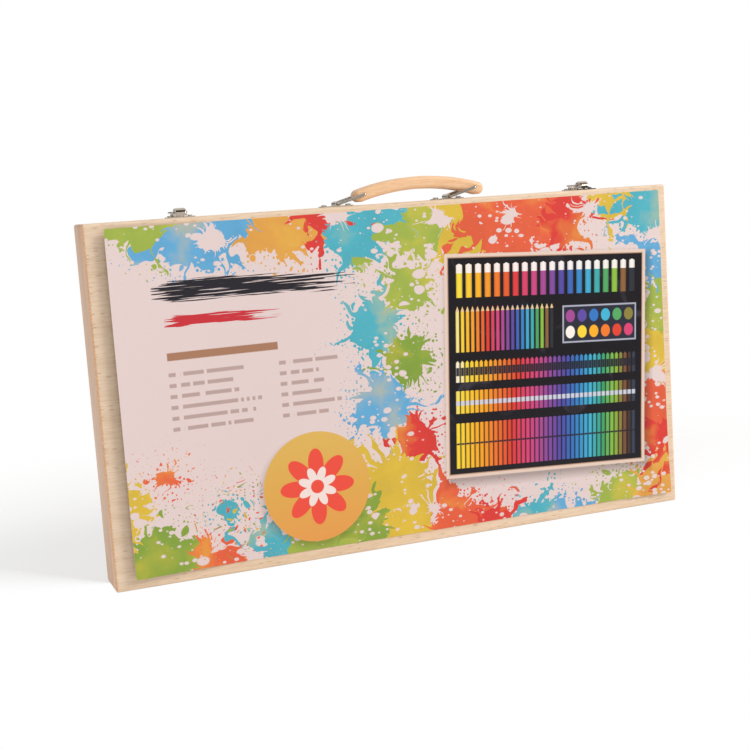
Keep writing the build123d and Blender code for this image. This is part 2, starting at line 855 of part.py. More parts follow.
def glue_stick_pieces():
    neck_r = 0.85 * glue_r
    knob_len = 7.0
    body = turned([
        (glue_r - 0.8, 0),
        (glue_r - 0.8, knob_len),
        (glue_r, knob_len),
        (glue_r, glue_body_len),
        (neck_r, glue_body_len),
        (neck_r, glue_body_len + 6),
        (0.75 * glue_r, glue_body_len + 6),
        (0.75 * glue_r, glue_body_len + 12),
    ])
    mouth = glue_body_len + 0.1
    end = glue_body_len + glue_cap_len
    bore_r = neck_r + 0.15
    outline = Polyline(
        (bore_r, mouth),
        (glue_r, mouth),
        (glue_r, end - 1),
        (glue_r - 1, end),
        (0, end),
        (0, end - 2),
        (bore_r, end - 2),
        close=True,
    )
    cap = revolve(Plane.XZ * make_face(outline), Axis.Z)
    return body, cap


def brush_pieces():
    # Wooden handle, metal ferrule and hair
    handle_end = 0.78 * brush_len
    ferrule_end = 0.9 * brush_len
    handle = turned([
        (0.35 * brush_r, 0),
        (0.6 * brush_r, 0.06 * brush_len),
        (brush_r, 0.6 * brush_len),
        (0.8 * brush_r, handle_end),
    ])
    ferrule = turned([(0.85 * brush_r, handle_end), (0.9 * brush_r, ferrule_end)])
    hair = turned([
        (0.75 * brush_r, ferrule_end),
        (0.85 * brush_r, 0.94 * brush_len),
        (0.1 * brush_r, brush_len),
    ])
    return [handle, ferrule, hair]


# Flat pieces. Each is made from its lowest corner of Y, y = 0, towards +Y.

def ruler():
    bevel = 6.0
    edge_t = 0.9
    half = ruler_w / 2
    outline = Polyline(
        (-half, 0),
        (half - bevel, 0),
        (half, ruler_t - edge_t),
        (half, ruler_t),
        (-half, ruler_t),
        close=True,
    )
    hole_r = 2.0
    body = extrude(make_face(outline), amount=ruler_len)
    return body - rod_y(hole_r, 3 * ruler_t, -half + 6, ruler_t / 2, ruler_len - 6)


def eraser():
    block = box(-eraser_w / 2, eraser_w / 2, 0, eraser_t, 0, eraser_len)
    block = fillet(block.edges(), 1.0)
    sleeve_t = 0.3
    sleeve_end = 0.62 * eraser_len
    return block - [
        box(-eraser_w, eraser_w, -1, sleeve_t, sleeve_end, eraser_len + 1),
        box(-eraser_w, -eraser_w / 2 + sleeve_t, -1, eraser_t + 1, sleeve_end, eraser_len + 1),
        box(eraser_w / 2 - sleeve_t, eraser_w, -1, eraser_t + 1, sleeve_end, eraser_len + 1),
    ]


def sharpener_pieces():
    # A wedge-shaped body with its blade screwed on the sloping face, and a tapered hole for the pencil
    half = sharpener_w / 2
    slope = 3.0
    body = box(-half, half, 0, sharpener_t, 0, sharpener_len)
    wedge = Polyline((-1, -1), (-1, sharpener_len + 1), (slope, sharpener_len + 1), (0, -1), close=True)
    body -= side_profile(wedge, 2 * sharpener_w)
    low = (Align.CENTER, Align.CENTER, Align.MIN)
    funnel = Cone(pencil_r + 0.4, 0.8, 0.85 * sharpener_len, align=low)
    body -= Pos(0, 0.55 * sharpener_t, -0.01) * funnel
    ridge_count = 5
    ridge_pitch = 3.0
    ridge_gap = 1.2
    ridge_depth = 0.6
    for side in both_sides:
        for index in range(ridge_count):
            low_z = 2 * ridge_pitch + index * ridge_pitch
            inner = side * (half - ridge_depth)
            body -= box(inner, side * (half + 1), -1, sharpener_t + 1, low_z, low_z + ridge_gap)
    lean = math.degrees(math.atan2(slope, sharpener_len + 2))
    blade_t = 0.6
    blade_box = Box(0.6 * sharpener_w, blade_t, 0.85 * sharpener_len)
    blade = Pos(0, slope * (sharpener_len / 2 + 1) / (sharpener_len + 2), sharpener_len / 2)
    blade *= Rot(-lean, 0, 0) * Pos(0, -blade_t / 2, 0) * blade_box
    return [body, blade]


def paper_clip():
    # Three runs of wire joined by round turns, lying in one plane
    half = clip_w / 2 - clip_wire_r
    inner = 0.55 * half
    end = clip_len / 2 - clip_wire_r
    points = [
        (-inner, 0, 0.4 * end),
        (-inner, 0, -0.75 * end),
        (inner, 0, -0.75 * end),
        (inner, 0, end),
        (-half, 0, end),
        (-half, 0, -end),
        (half, 0, -end),
        (half, 0, 0.55 * end),
    ]
    turn_in = 0.95 * inner
    turn_top = 0.48 * (half + inner)
    turn_low = 0.95 * half
    radii = [turn_in, turn_in, turn_top, turn_top, turn_low, turn_low]
    return wire(points, radii, clip_wire_r)


def paint_pan_spots():
    # Two rows of pans below the box's upper edge
    upper_z = paint_h / 2 - pan_margin - pan_r
    first = (pan_columns - 1) / 2
    rows = (upper_z, upper_z - pan_pitch)
    return [((index - first) * pan_pitch, z) for z in rows for index in range(pan_columns)]


def paint_box():
    block = box(-paint_w / 2, paint_w / 2, 0, paint_t, -paint_h / 2, paint_h / 2)
    block = fillet(block.edges().filter_by(Axis.Y), 6)
    block = fillet(block.faces().sort_by(Axis.Y)[0].edges(), 1)
    for x, z in paint_pan_spots():
        block -= rod_y(pan_r + pan_clear, 2 * well_depth, x, 0, z)
    mixing = extrude(RectangleRounded(mix_w, mix_h, mix_w / 6), amount=mix_depth, both=True)
    for index in range(mix_count):
        x = (index - (mix_count - 1) / 2) * (mix_w + mix_gap)
        block -= Pos(x, 0, mix_margin + mix_h / 2 - paint_h / 2) * Rot(90, 0, 0) * mixing
    return block


def paint_pan():
    pan = rod_y(pan_r, pan_t, 0, well_depth - pan_t / 2 - 0.05, 0)
    dish_r = 40.0
    top = well_depth - pan_t
    return pan - Pos(0, top - dish_r + 0.9, 0) * Sphere(dish_r)


def paint_pans():
    pan = paint_pan()
    return [Pos(x, 0, z) * pan for x, z in paint_pan_spots()]


# The two halves filled, each as pieces with their pocket

def base_contents():
    crayon_z = rail_t + base_margin
    pastel_z = crayon_z + crayon_len + pocket_play + base_row_gap
    marker_z = pastel_z + pastel_len + pocket_play + base_row_gap
    markers_end = first_x - marker_count * marker_pitch - group_gap
    glue_x = markers_end - group_gap - glue_r
    eraser_x = glue_x - glue_r - small_gap - eraser_w / 2
    stick_xs = two_groups(first_x, crayon_count, stick_pitch, group_gap)
    marker_xs = two_groups(first_x, marker_count, marker_pitch, group_gap)
    eraser_depth = eraser_t - block_proud
    glue_len = glue_body_len + glue_cap_len
    pockets = [
        groove_pocket(stick_xs, crayon_r, crayon_proud, crayon_z, crayon_len),
        groove_pocket(stick_xs, pastel_r, pastel_proud, pastel_z, pastel_len),
        groove_pocket(marker_xs, marker_r, marker_proud, marker_z, marker_len),
        groove_pocket([glue_x], glue_r, marker_proud, marker_z, glue_len),
        box_pocket(eraser_x, eraser_w, eraser_depth, marker_z, eraser_len),
    ]
    cap_first = Pos(0, 0, marker_len) * Rot(180, 0, 0)
    body = cap_first * pen_body(marker_r, marker_body_len, marker_cap_len)
    cap = cap_first * pen_cap(marker_r, marker_body_len, marker_cap_len)
    glue_body, glue_cap = glue_stick_pieces()
    eraser_y = flange_y - block_proud
    return {
        "base_tray": tray(pockets),
        "wax_crayons": laid(wax_crayon(), stick_xs, crayon_r, crayon_proud, crayon_z),
        "oil_pastels": laid(oil_pastel(), stick_xs, pastel_r, pastel_proud, pastel_z),
        "maxi_markers": laid(body, marker_xs, marker_r, marker_proud, marker_z),
        "maxi_marker_caps": laid(cap, marker_xs, marker_r, marker_proud, marker_z),
        "glue_stick": laid(glue_body, [glue_x], glue_r, marker_proud, marker_z),
        "glue_stick_cap": laid(glue_cap, [glue_x], glue_r, marker_proud, marker_z),
        "eraser": Pos(eraser_x, eraser_y, marker_z + pocket_play / 2) * eraser(),
    }


def lid_contents():
    top_z = case_height - rail_t - lid_margin
    pencil_z = top_z - pencil_len - pocket_play
    pen_z = pencil_z - lid_row_gap - pen_len - pocket_play
    paint_z = top_z - paint_h - pocket_play
    clips_z = top_z - clip_len - pocket_play
    sharpener_z = clips_z - strip_row_gap - sharpener_len - pocket_play
    ruler_z = sharpener_z - strip_row_gap - ruler_len - pocket_play
    pencil_xs = row(pencil_first_x, pencil_count, pencil_pitch)
    pen_xs = two_groups(pen_first_x, pen_count, pen_pitch, pen_group_gap)
    clips_w = clip_count * clip_pitch
    paint_depth = paint_t - block_proud
    sharpener_depth = sharpener_t - block_proud
    pockets = [
        groove_pocket(pencil_xs, pencil_r, pencil_proud, pencil_z, pencil_len),
        groove_pocket(pen_xs, pen_r, pen_proud, pen_z, pen_len),
        groove_pocket([graphite_x], pencil_r, pencil_proud, ruler_z, pencil_len),
        groove_pocket([brush_x], brush_r, brush_proud, ruler_z, brush_len),
        box_pocket(ruler_x, ruler_w, ruler_t - ruler_proud, ruler_z, ruler_len),
        box_pocket(paint_x, paint_w, paint_depth, paint_z, paint_h),
        box_pocket(ruler_x, sharpener_w, sharpener_depth, sharpener_z, sharpener_len),
        box_pocket(ruler_x, clips_w, clip_pocket_depth, clips_z, clip_len),
    ]
    body = pen_body(pen_r, pen_body_len, pen_cap_len)
    cap = pen_cap(pen_r, pen_body_len, pen_cap_len)
    seat = pocket_play / 2
    block_y = flange_y - block_proud
    paint_place = Pos(paint_x, block_y, paint_z + seat + paint_h / 2)
    clip_y = flange_y + clip_pocket_depth - clip_wire_r
    clip_xs = row(ruler_x + clips_w / 2, clip_count, clip_pitch)
    clip_z = clips_z + seat + clip_len / 2
    sharpener_place = Pos(ruler_x, block_y, sharpener_z + seat)
    clip = paper_clip()
    return {
        "lid_tray": tray(pockets),
        "colour_pencils": laid(pencil(), pencil_xs, pencil_r, pencil_proud, pencil_z),
        "fibre_pens": laid(body, pen_xs, pen_r, pen_proud, pen_z),
        "fibre_pen_caps": laid(cap, pen_xs, pen_r, pen_proud, pen_z),
        "graphite_pencil": laid(pencil(), [graphite_x], pencil_r, pencil_proud, ruler_z),
        "brush": laid(group(brush_pieces()), [brush_x], brush_r, brush_proud, ruler_z),
        "ruler": Pos(ruler_x, flange_y - ruler_proud, ruler_z + seat) * ruler(),
        "paint_box": paint_place * paint_box(),
        "paint_pans": group([paint_place * pan for pan in paint_pans()]),
        "sharpener": group([sharpener_place * piece for piece in sharpener_pieces()]),
        "paper_clips": group([Pos(x, clip_y, clip_z) * clip for x in clip_xs]),
    }


def base_nodes():
    rails = half_rails(pilots(catch_screw_spots(), latch_plate_t))
    nodes = {"base_" + name: rail for name, rail in rails.items()}
    nodes["base_panel"] = half_panel()
    nodes["hinge_base_screws"] = hinge_screws()
    nodes["latch_catch_screws"] = catch_screws()
    nodes.update(base_contents())
    for word, side in (("left", -1), ("right", 1)):
        nodes["hinge_" + word + "_base_leaf"] = hinge_leaf(side * hinge_x, 0)
        nodes["hinge_" + word + "_pin"] = hinge_pin(side * hinge_x)
        nodes["latch_" + word + "_catch"] = latch_catch(side)
    return nodes


def lid_nodes():
    # Pieces made towards +Y and mirrored, then those made at their place on the front half
    top_spots = [(x, -y) for x, y in handle_screw_spots() + latch_screw_spots()]
    rails = half_rails(pilots(top_spots, bracket_t))
    made_behind = {"lid_" + name: rail for name, rail in rails.items()}
    made_behind["lid_panel"] = half_panel()
    made_behind["hinge_lid_screws"] = hinge_screws()
    made_behind["printed_card"] = printed_card()
    made_behind.update(lid_contents())
    for word, side in (("left", -1), ("right", 1)):
        made_behind["hinge_" + word + "_lid_leaf"] = hinge_leaf(side * hinge_x, 1)
    nodes = {name: mirrored(shape) for name, shape in made_behind.items()}
    nodes["handle_screws"] = handle_screws()
    nodes["latch_plate_screws"] = latch_plate_screws()
    nodes["handle_grip"] = handle_grip()
    for word, side in (("left", -1), ("right", 1)):
        nodes["handle_" + word + "_bracket"] = handle_bracket(side)
        nodes["handle_" + word + "_link"] = handle_link(side)
        nodes["latch_" + word + "_plate"] = latch_plate(side)
        nodes["latch_" + word + "_pin"] = latch_pin(side)
        nodes["latch_" + word + "_lever"] = latch_lever(side)
        nodes["latch_" + word + "_loop"] = latch_loop(side)
    return nodes


def export_nodes(nodes):
    os.makedirs("parts", exist_ok=True)
    for name, shape in nodes.items():
        export_step(Pos(0, split_y, 0) * shape, "parts/" + name + ".step")


export_nodes(base_nodes())
export_nodes(lid_nodes())
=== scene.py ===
# %% [markdown]
# # A slim wooden art set case
#
# The case stands closed on its hinge edge, as it would in a shop. Two shallow halves of pale beech meet at
# a split half way through the depth. The front half carries a printed card, an arched grip on two wire
# links, and the levers of two nickel latches. Inside lie crayons, pens, pencils and paints.
#
# The shapes that fit and move come ready in the frame. This lesson gives each of them its real finish, and
# models the one piece that is better made here: the card, a thin sheet that has sprung away from the wood.

# %% Load the frame and note its size
import math
from functools import partial

import bmesh
import bpy
from mathutils import Matrix, Vector


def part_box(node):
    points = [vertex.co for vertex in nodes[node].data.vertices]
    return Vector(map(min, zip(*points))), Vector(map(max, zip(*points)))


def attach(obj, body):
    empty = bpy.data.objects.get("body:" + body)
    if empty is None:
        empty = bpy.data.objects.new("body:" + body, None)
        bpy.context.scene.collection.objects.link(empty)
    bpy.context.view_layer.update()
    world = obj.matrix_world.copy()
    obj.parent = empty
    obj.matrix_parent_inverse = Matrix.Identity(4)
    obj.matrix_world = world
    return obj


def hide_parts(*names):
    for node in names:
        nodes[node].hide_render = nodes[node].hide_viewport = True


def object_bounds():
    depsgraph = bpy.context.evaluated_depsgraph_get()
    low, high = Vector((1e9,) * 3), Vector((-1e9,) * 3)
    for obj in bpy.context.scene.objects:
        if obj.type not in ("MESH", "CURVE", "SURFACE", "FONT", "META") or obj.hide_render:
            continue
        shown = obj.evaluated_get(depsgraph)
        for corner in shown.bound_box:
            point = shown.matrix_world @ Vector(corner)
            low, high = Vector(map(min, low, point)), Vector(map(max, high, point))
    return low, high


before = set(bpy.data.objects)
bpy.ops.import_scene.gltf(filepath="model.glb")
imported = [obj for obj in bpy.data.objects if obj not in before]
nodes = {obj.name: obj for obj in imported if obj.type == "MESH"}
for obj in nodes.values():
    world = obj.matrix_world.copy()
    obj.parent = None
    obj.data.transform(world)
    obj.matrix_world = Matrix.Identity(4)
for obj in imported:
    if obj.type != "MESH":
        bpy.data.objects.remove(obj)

MM = 0.001
cad_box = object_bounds()
case_low, case_high = cad_box
print("pieces in the frame:", len(nodes))
print("size in mm:", [round((b - a) / MM, 1) for a, b in zip(case_low, case_high)])

# %% [markdown]
# ## Camera
#
# The photograph looks at the case from its left and a little above, and the camera was not held quite
# level. A camera could be placed by eye, but a card with straight edges shows every wrong degree. So its
# turn, its height angle and its roll were worked out from the corners of the case, and so was its lens.

# %% Place the camera
CAMERA_PLACE_MM = (-393.04, -996.62, 284.16)
CAMERA_TURN = -20.413
CAMERA_DOWN = 7.647
CAMERA_ROLL = -3.864
LENS_MM = 62.84
SENSOR_MM = 36.0


def placed(place, tilt, turn, roll=0.0):
    """Where a thing stands that lay flat and was rolled, tilted up and turned, each by so many degrees."""
    rolled, tilted, turned = (Matrix.Rotation(math.radians(angle), 4, axis)
                              for angle, axis in ((roll, "Z"), (tilt, "X"), (turn, "Z")))
    return Matrix.Translation(place) @ turned @ tilted @ rolled


lens = bpy.data.cameras.new("camera")
lens.lens = LENS_MM
lens.sensor_width = SENSOR_MM
camera = bpy.data.objects.new("camera", lens)
bpy.context.scene.collection.objects.link(camera)
# A camera that lies flat looks straight down, and one tilted up by 90 degrees looks level
camera.matrix_world = placed(Vector(CAMERA_PLACE_MM) * MM, 90 - CAMERA_DOWN, CAMERA_TURN, CAMERA_ROLL)
bpy.context.scene.camera = camera
print("camera distance in mm:", round(camera.location.length / MM))

# %% [markdown]
# ## Colours and nodes
#
# Paint charts and photographs give colours as sRGB hex values. Blender mixes light in linear numbers, so
# one function turns the first into the second. Another adds any shader node, sets it, links it and hands
# back one of its outputs. Every material gets it as add(), bound to its own nodes, so that a finish reads
# like a recipe from top to bottom.

# %% Helpers for finishes
def colour(code):
    """A colour written as sRGB hex, as the linear numbers that Blender mixes."""
    parts = [int(code[start:start + 2], 16) / 255 for start in (1, 3, 5)]
    linear = [part / 12.92 if part <= 0.04045 else ((part + 0.055) / 1.055) ** 2.4 for part in parts]
    return (*linear, 1.0)


def fill_ramp(ramp, stops):
    """Gives a colour ramp these stops: place from 0 to 1, and hex colour."""
    while len(ramp.elements) < len(stops):
        ramp.elements.new(0.5)
    for element, (place, code) in zip(ramp.elements, stops):
        element.position = place
        element.color = colour(code)


def fill(socket, value):
    """Gives a socket a link, a plain value, or a colour written as hex."""
    if isinstance(value, bpy.types.NodeSocket):
        socket.id_data.links.new(value, socket)
    else:
        socket.default_value = colour(value) if isinstance(value, str) else value


def feed(node, relief=None, **sources):
    """Fills a node's sockets by name. Relief is a height, how strong it is, and its depth in mm."""
    if relief:
        height, strength, depth_mm = relief
        sources["Normal"] = add_node(node.id_data, "Bump", strength, depth_mm * MM, Height=height)
    for key, source in sources.items():
        fill(node.inputs[key.replace("_", " ")], source)


def add_node(tree, kind, *values, out=0, **named):
    """Adds one node with its settings and links, and gives back one output, or all if out is None.

    A kind in capitals is an operation of the Math node. A text after the kind is an operation too, and a
    dictionary there holds settings. Then come values and links, for the sockets that are in use with these
    settings, in their order. Others are given by the names of their sockets.
    """
    if kind.isupper():
        kind, values = "Math", (kind, *values)
    made = tree.nodes.new("ShaderNode" + kind)
    settings = {}
    if values and isinstance(values[0], (str, dict)):
        settings, *values = values
    if isinstance(settings, str):
        settings = {"operation": settings}
    for key, value in settings.items():
        if key == "stops":
            fill_ramp(made.color_ramp, value)
        else:
            setattr(made, key, value)
    for socket, value in zip([socket for socket in made.inputs if socket.enabled], values):
        fill(socket, value)
    feed(made, **named)
    if isinstance(out, int):
        return [socket for socket in made.outputs if socket.enabled][out]
    return made.outputs[out] if out else made.outputs


# A Mix takes a share and two colours: the second covers the first as far as that, or is multiplied with it
COLOURS = {"data_type": "RGBA"}
TINT = {"data_type": "RGBA", "blend_type": "MULTIPLY"}
# Noise hardly ever leaves this span, so what follows it is stretched from here
NOISE_SPAN = (0.3, 0.7)


def uneven(add, place, tone, scale, detail, darkest, lightest):
    """A colour made a little darker and lighter in patches, and the noise that makes them."""
    noise = add("TexNoise", Vector=place, Scale=scale, Detail=detail)
    shade = add("MapRange", noise, *NOISE_SPAN, darkest, lightest)
    return add("Mix", TINT, 1.0, tone, shade), noise


def between(add, value, low, high):
    """1 where a value lies between two others, and 0 on them and outside."""
    return add("MULTIPLY", add("GREATER_THAN", value, low), add("LESS_THAN", value, high))


def new_material(name, roughness, **sockets):
    """A material, what adds nodes to it, its shader, and the place on the object in millimetres."""
    material = bpy.data.materials.new(name)
    material.use_nodes = True
    add = partial(add_node, material.node_tree)
    shader = material.node_tree.nodes["Principled BSDF"]
    feed(shader, Roughness=roughness, **sockets)
    place = add("VectorMath", "SCALE", add("TexCoord", out="Object"), 1 / MM)
    return material, add, shader, place


def finish(material, *names):
    """Gives CAD nodes their material."""
    for name in names:
        for slot in nodes[name].material_slots:
            slot.material = material
    print(material.name, "on", len(names), "nodes")

# %% [markdown]
# ## Beech
#
# The rails and the grip are beech, and the panels are plywood faced with it: a pale, even wood with fine
# brown flecks, planed, sanded and given a thin matt lacquer, which hardly shines. A photograph of wood could
# be wrapped round each piece, but it would stretch at the ends. A pattern in real millimetres is safer: slow
# bands along the grain, hair-fine fibres in them, and short dark dashes, which are the rays of the wood. The
# real dashes are half a millimetre high, which is less than the picture can show, so they are drawn a little
# coarser. Where a panel's end is cut across the grain, the wood drinks more lacquer and is a warmer colour.
# The grip isn't lacquered but oiled, which makes it deeper in colour and a little smoother.

# %% A finish for beech
GRAIN_STRETCH = 0.06
BAND_MM = 9.0
FIBRE_MM = 0.7
DASH_MM = (7.5, 1.5)
FIBRE_SHARE = 0.45
DASH_EDGE, DASH_CHANCE = (0.4, 0.18, 0.0, 1.0), (0.6, 0.9)
GLOSS_SPREAD = 0.06
END_FACING = 0.35


def beech(name, grain, pale, deep, dash, dash_share=0.6, roughness=0.52, end_grain=None):
    """Planed and sanded beech with its grain along X or Z. End grain is the colour of a panel's ends."""
    material, add, shader, place = new_material(name, roughness, Coat_Weight=0.06, Coat_Roughness=0.35)
    along, dash_cell = {"X": ((GRAIN_STRETCH, 1, 1), (DASH_MM[0], 3.0, DASH_MM[1])),
                        "Z": ((1, 1, GRAIN_STRETCH), (DASH_MM[1], 3.0, DASH_MM[0]))}[grain]
    lain = add("VectorMath", "MULTIPLY", place, along)
    bands = add("TexNoise", Vector=lain, Scale=1 / BAND_MM, Detail=3.0, Distortion=0.3)
    tone = add("ValToRGB", {"stops": list(zip(NOISE_SPAN, (deep, pale)))}, bands)
    fibres = add("TexNoise", Vector=lain, Scale=1 / FIBRE_MM, Detail=2.0)
    fibre_tint = add("ValToRGB", {"stops": [(0.3, "#e2d3c2"), (0.6, "#ffffff")]}, fibres)
    fibrous = add("Mix", TINT, FIBRE_SHARE, tone, fibre_tint)
    cells = add("VectorMath", "DIVIDE", place, dash_cell)
    spot = add("TexVoronoi", out=None, Vector=cells, Scale=1.0)
    chosen = add("MapRange", add("SeparateColor", spot["Color"]), *DASH_CHANCE, 0.0, dash_share)
    dashes = add("MULTIPLY", add("MapRange", spot["Distance"], *DASH_EDGE), chosen)
    shown = add("Mix", COLOURS, dashes, fibrous, dash)
    if end_grain:
        facing = add("SeparateXYZ", add("TexCoord", out="Normal"), out="X")
        edge = add("GREATER_THAN", add("ABSOLUTE", facing), END_FACING)
        warm = add("Mix", TINT, 1.0, end_grain, fibre_tint)
        shown = add("Mix", COLOURS, edge, shown, warm)
    relief = add("SUBTRACT", fibres, dashes)
    gloss = add("MapRange", bands, *NOISE_SPAN, roughness + GLOSS_SPREAD, roughness - GLOSS_SPREAD)
    feed(shader, (relief, 0.12, 0.1), Base_Color=shown, Roughness=gloss)
    return material


long_rails = [half + edge for half in ("base_", "lid_") for edge in ("top_rail", "bottom_rail")]
side_rails = [half + edge for half in ("base_", "lid_") for edge in ("left_rail", "right_rail")]
finish(beech("beech_rail_lengthwise", "X", "#eed9c1", "#e6ccb0", "#cfae90", 0.35), *long_rails)
# The upright rails are given a pinker, deeper tone than the lengthwise rails of the same beech
finish(beech("beech_rail_upright", "Z", "#e8c5a6", "#ddb190", "#c29878", 0.35), *side_rails)
plywood = beech("beech_plywood_face", "X", "#ebd4bb", "#e2c8ab", "#b99a78", 0.7, end_grain="#f5c498")
finish(plywood, "base_panel", "lid_panel")
finish(beech("beech_grip_oiled", "X", "#f3cda5", "#ecbb8d", "#d5a172", 0.4, 0.42), "handle_grip")

# %% [markdown]
# ## Metal fittings
#
# Latches, hinges and handle brackets are pressed steel with bright nickel plate, which mirrors the room and
# is a little warm. The links, loops and clips are drawn steel wire. A plain mirror would look like computer
# graphics, so faint rubbing marks change how sharp the mirror is from place to place.

# %% Finishes for metal
MARK_SPAN = (0.35, 0.65)


def metal(name, code, roughness, mark_mm, spread):
    """Bright metal whose mirror is dulled a little, in marks of this size."""
    material, add, shader, place = new_material(name, roughness, Metallic=1.0)
    marks = add("TexNoise", Vector=place, Scale=1 / mark_mm, Detail=4.0)
    dull = add("MapRange", marks, *MARK_SPAN, roughness - spread, roughness + spread)
    tint = add("Mix", TINT, 0.25, code, marks)
    feed(shader, (marks, 0.05, 0.03), Base_Color=tint, Roughness=dull)
    return material


nickel = metal("nickel_plated_steel", "#c1b4a5", 0.17, 2.2, 0.07)
wire = metal("drawn_steel_wire", "#c4bdb3", 0.2, 1.6, 0.06)
wires = ["handle_left_link", "handle_right_link", "latch_left_loop", "latch_right_loop", "paper_clips"]
fittings = [name for name in nodes if name.startswith(("hinge_", "latch_", "handle_"))]
finish(nickel, *[name for name in fittings if name not in wires and name != "handle_grip"])
finish(wire, *wires)

# %% [markdown]
# ## Trays
#
# Each half holds a thin black tray, formed by sucking a warm polystyrene sheet over a mould. That leaves a
# soft sheen with a fine orange-peel texture, and light scuffs where pens have been pushed in and out.

# %% The tray's finish
PEEL_MM = 0.9
SCUFF_MM = 14.0
tray_black, add, shader, place = new_material("polystyrene_sheet_formed", 0.5, Specular_IOR_Level=0.45)
peel = add("TexNoise", Vector=place, Scale=1 / PEEL_MM, Detail=2.0)
scuffs = add("TexNoise", Vector=place, Scale=1 / SCUFF_MM, Detail=8.0, Roughness=0.7)
black = add("ValToRGB", {"stops": [(0.4, "#17161a"), (0.75, "#2b2a2e")]}, scuffs)
sheen = add("MapRange", scuffs, 0.35, 0.7, 0.4, 0.62)
feed(shader, (peel, 0.3, 0.1), Base_Color=black, Roughness=sheen)
finish(tray_black, "base_tray", "lid_tray")

# %% [markdown]
# ## Rows of colours
#
# Crayons, pens and pencils lie in rows, each row running through the rainbow. Every stick could have its
# own material, which makes well over a hundred of them. Instead one material works out which stick a point
# belongs to: its distance from the row's first edge, divided by the pitch of the grooves and rounded down.
# A ramp then turns the number into a colour. A second share, along the stick, tells paper from wax.

# %% Numbers for the sticks of a row
RAINBOW = [
    (0.00, "#f4efe6"), (0.06, "#f5dc3c"), (0.16, "#f6b21f"), (0.25, "#ee7a26"), (0.34, "#dd3a2c"),
    (0.43, "#d5437c"), (0.52, "#8d4a9c"), (0.60, "#4a4aa6"), (0.67, "#2f78c4"), (0.75, "#3fb2d4"),
    (0.82, "#37a06a"), (0.88, "#8bbf3f"), (0.93, "#8a5a3a"), (0.97, "#2b2a2c"), (1.00, "#3d4964"),
]


def stick_share(add, place, name, pitch, per_group, groups=1, gap=0.0):
    """From 0 at a row's first stick to 1 at its last, the same all over each stick."""
    low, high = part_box(name)
    radius = (high.y - low.y) / 2
    first_edge = (high.x - radius) / MM + pitch / 2
    gap_middle = first_edge - per_group * pitch - gap / 2
    across = add("SeparateXYZ", place, out="X")
    past = add("LESS_THAN", across, gap_middle)
    closed_up = add("MULTIPLY_ADD", past, gap, across)
    from_edge = add("SUBTRACT", first_edge, closed_up)
    number = add("FLOOR", add("DIVIDE", from_edge, pitch))
    return add("DIVIDE", number, per_group * groups - 1)


def length_share(add, place, name):
    """From 0 at the low end of a row's sticks to 1 at their high end."""
    low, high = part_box(name)
    up = add("SeparateXYZ", place, out="Z")
    return add("MapRange", up, low.z / MM, high.z / MM, 0.0, 1.0)

# %% [markdown]
# ## Crayons and pastels
#
# A wax crayon is a moulded stick with a printed paper sleeve that stops short of its tip. The wax is
# slightly see-through and shines softly, and the paper is duller, with dark bands near both ends. An oil
# pastel is softer and duller than wax, and its sleeve starts at its blunt end and has three bands.

# %% Finishes for crayons and pastels
def sleeved(name, node, roughness, sleeve, bands, paper):
    """A coloured stick in a paper sleeve. Bands are dark rings at these shares of its length."""
    material, add, shader, place = new_material(name, roughness, Subsurface_Weight=0.1,
                                                Subsurface_Radius=(1.2 * MM, 0.8 * MM, 0.5 * MM))
    number = stick_share(add, place, node, STICK_PITCH_MM, 20, 2, GROUP_GAP_MM)
    pigment = add("ValToRGB", {"stops": RAINBOW}, number)
    share = length_share(add, place, node)
    paper_tint = add("Mix", TINT, 1.0, pigment, paper)
    in_sleeve = between(add, share, *sleeve)
    dressed = add("Mix", COLOURS, in_sleeve, pigment, paper_tint)
    for band in bands:
        ring = add("COMPARE", share, band, BAND_HALF)
        dressed = add("Mix", COLOURS, ring, dressed, "#29272c")
    shown, mottle = uneven(add, place, dressed, 1 / MOTTLE_MM, 5.0, 0.86, 1.04)
    dull = add("MapRange", in_sleeve, 0.0, 1.0, roughness, PAPER_ROUGHNESS)
    feed(shader, (mottle, 0.3, 0.1), Base_Color=shown, Roughness=dull)
    finish(material, node)


STICK_PITCH_MM = 10.8
GROUP_GAP_MM = 22.0
BAND_HALF = 0.012
MOTTLE_MM = 3.0
PAPER_ROUGHNESS = 0.75
sleeved("wax_crayon_in_paper", "wax_crayons", 0.42, (0.067, 0.833), (0.11, 0.14, 0.76, 0.79), "#f0eee8")
sleeved("oil_pastel_in_paper", "oil_pastels", 0.5, (0.0, 0.8), (0.1, 0.4, 0.7), "#dfe4ee")

# %% [markdown]
# ## Pens and markers
#
# Felt pens and thick markers are moulded polypropylene. To the eye it has a waxy gloss and a faint haze, and
# small pieces such as caps are glossier. One finish serves all the barrels and caps, given other numbers.

# %% Finishes for pens, caps and barrels
def moulded(name, node, pitch, per_group, groups, gap, stops, roughness=0.34):
    """Coloured moulded plastic, one colour for each stick of the row."""
    material, add, shader, place = new_material(name, roughness, Specular_IOR_Level=0.5)
    number = stick_share(add, place, node, pitch, per_group, groups, gap)
    pigment = add("ValToRGB", {"stops": stops}, number)
    shown, haze = uneven(add, place, pigment, 1 / MOTTLE_MM, 3.0, 0.93, 1.03)
    dull = add("MapRange", haze, *NOISE_SPAN, roughness - 0.06, roughness + 0.08)
    feed(shader, (haze, 0.03, 0.05), Base_Color=shown, Roughness=dull)
    finish(material, node)


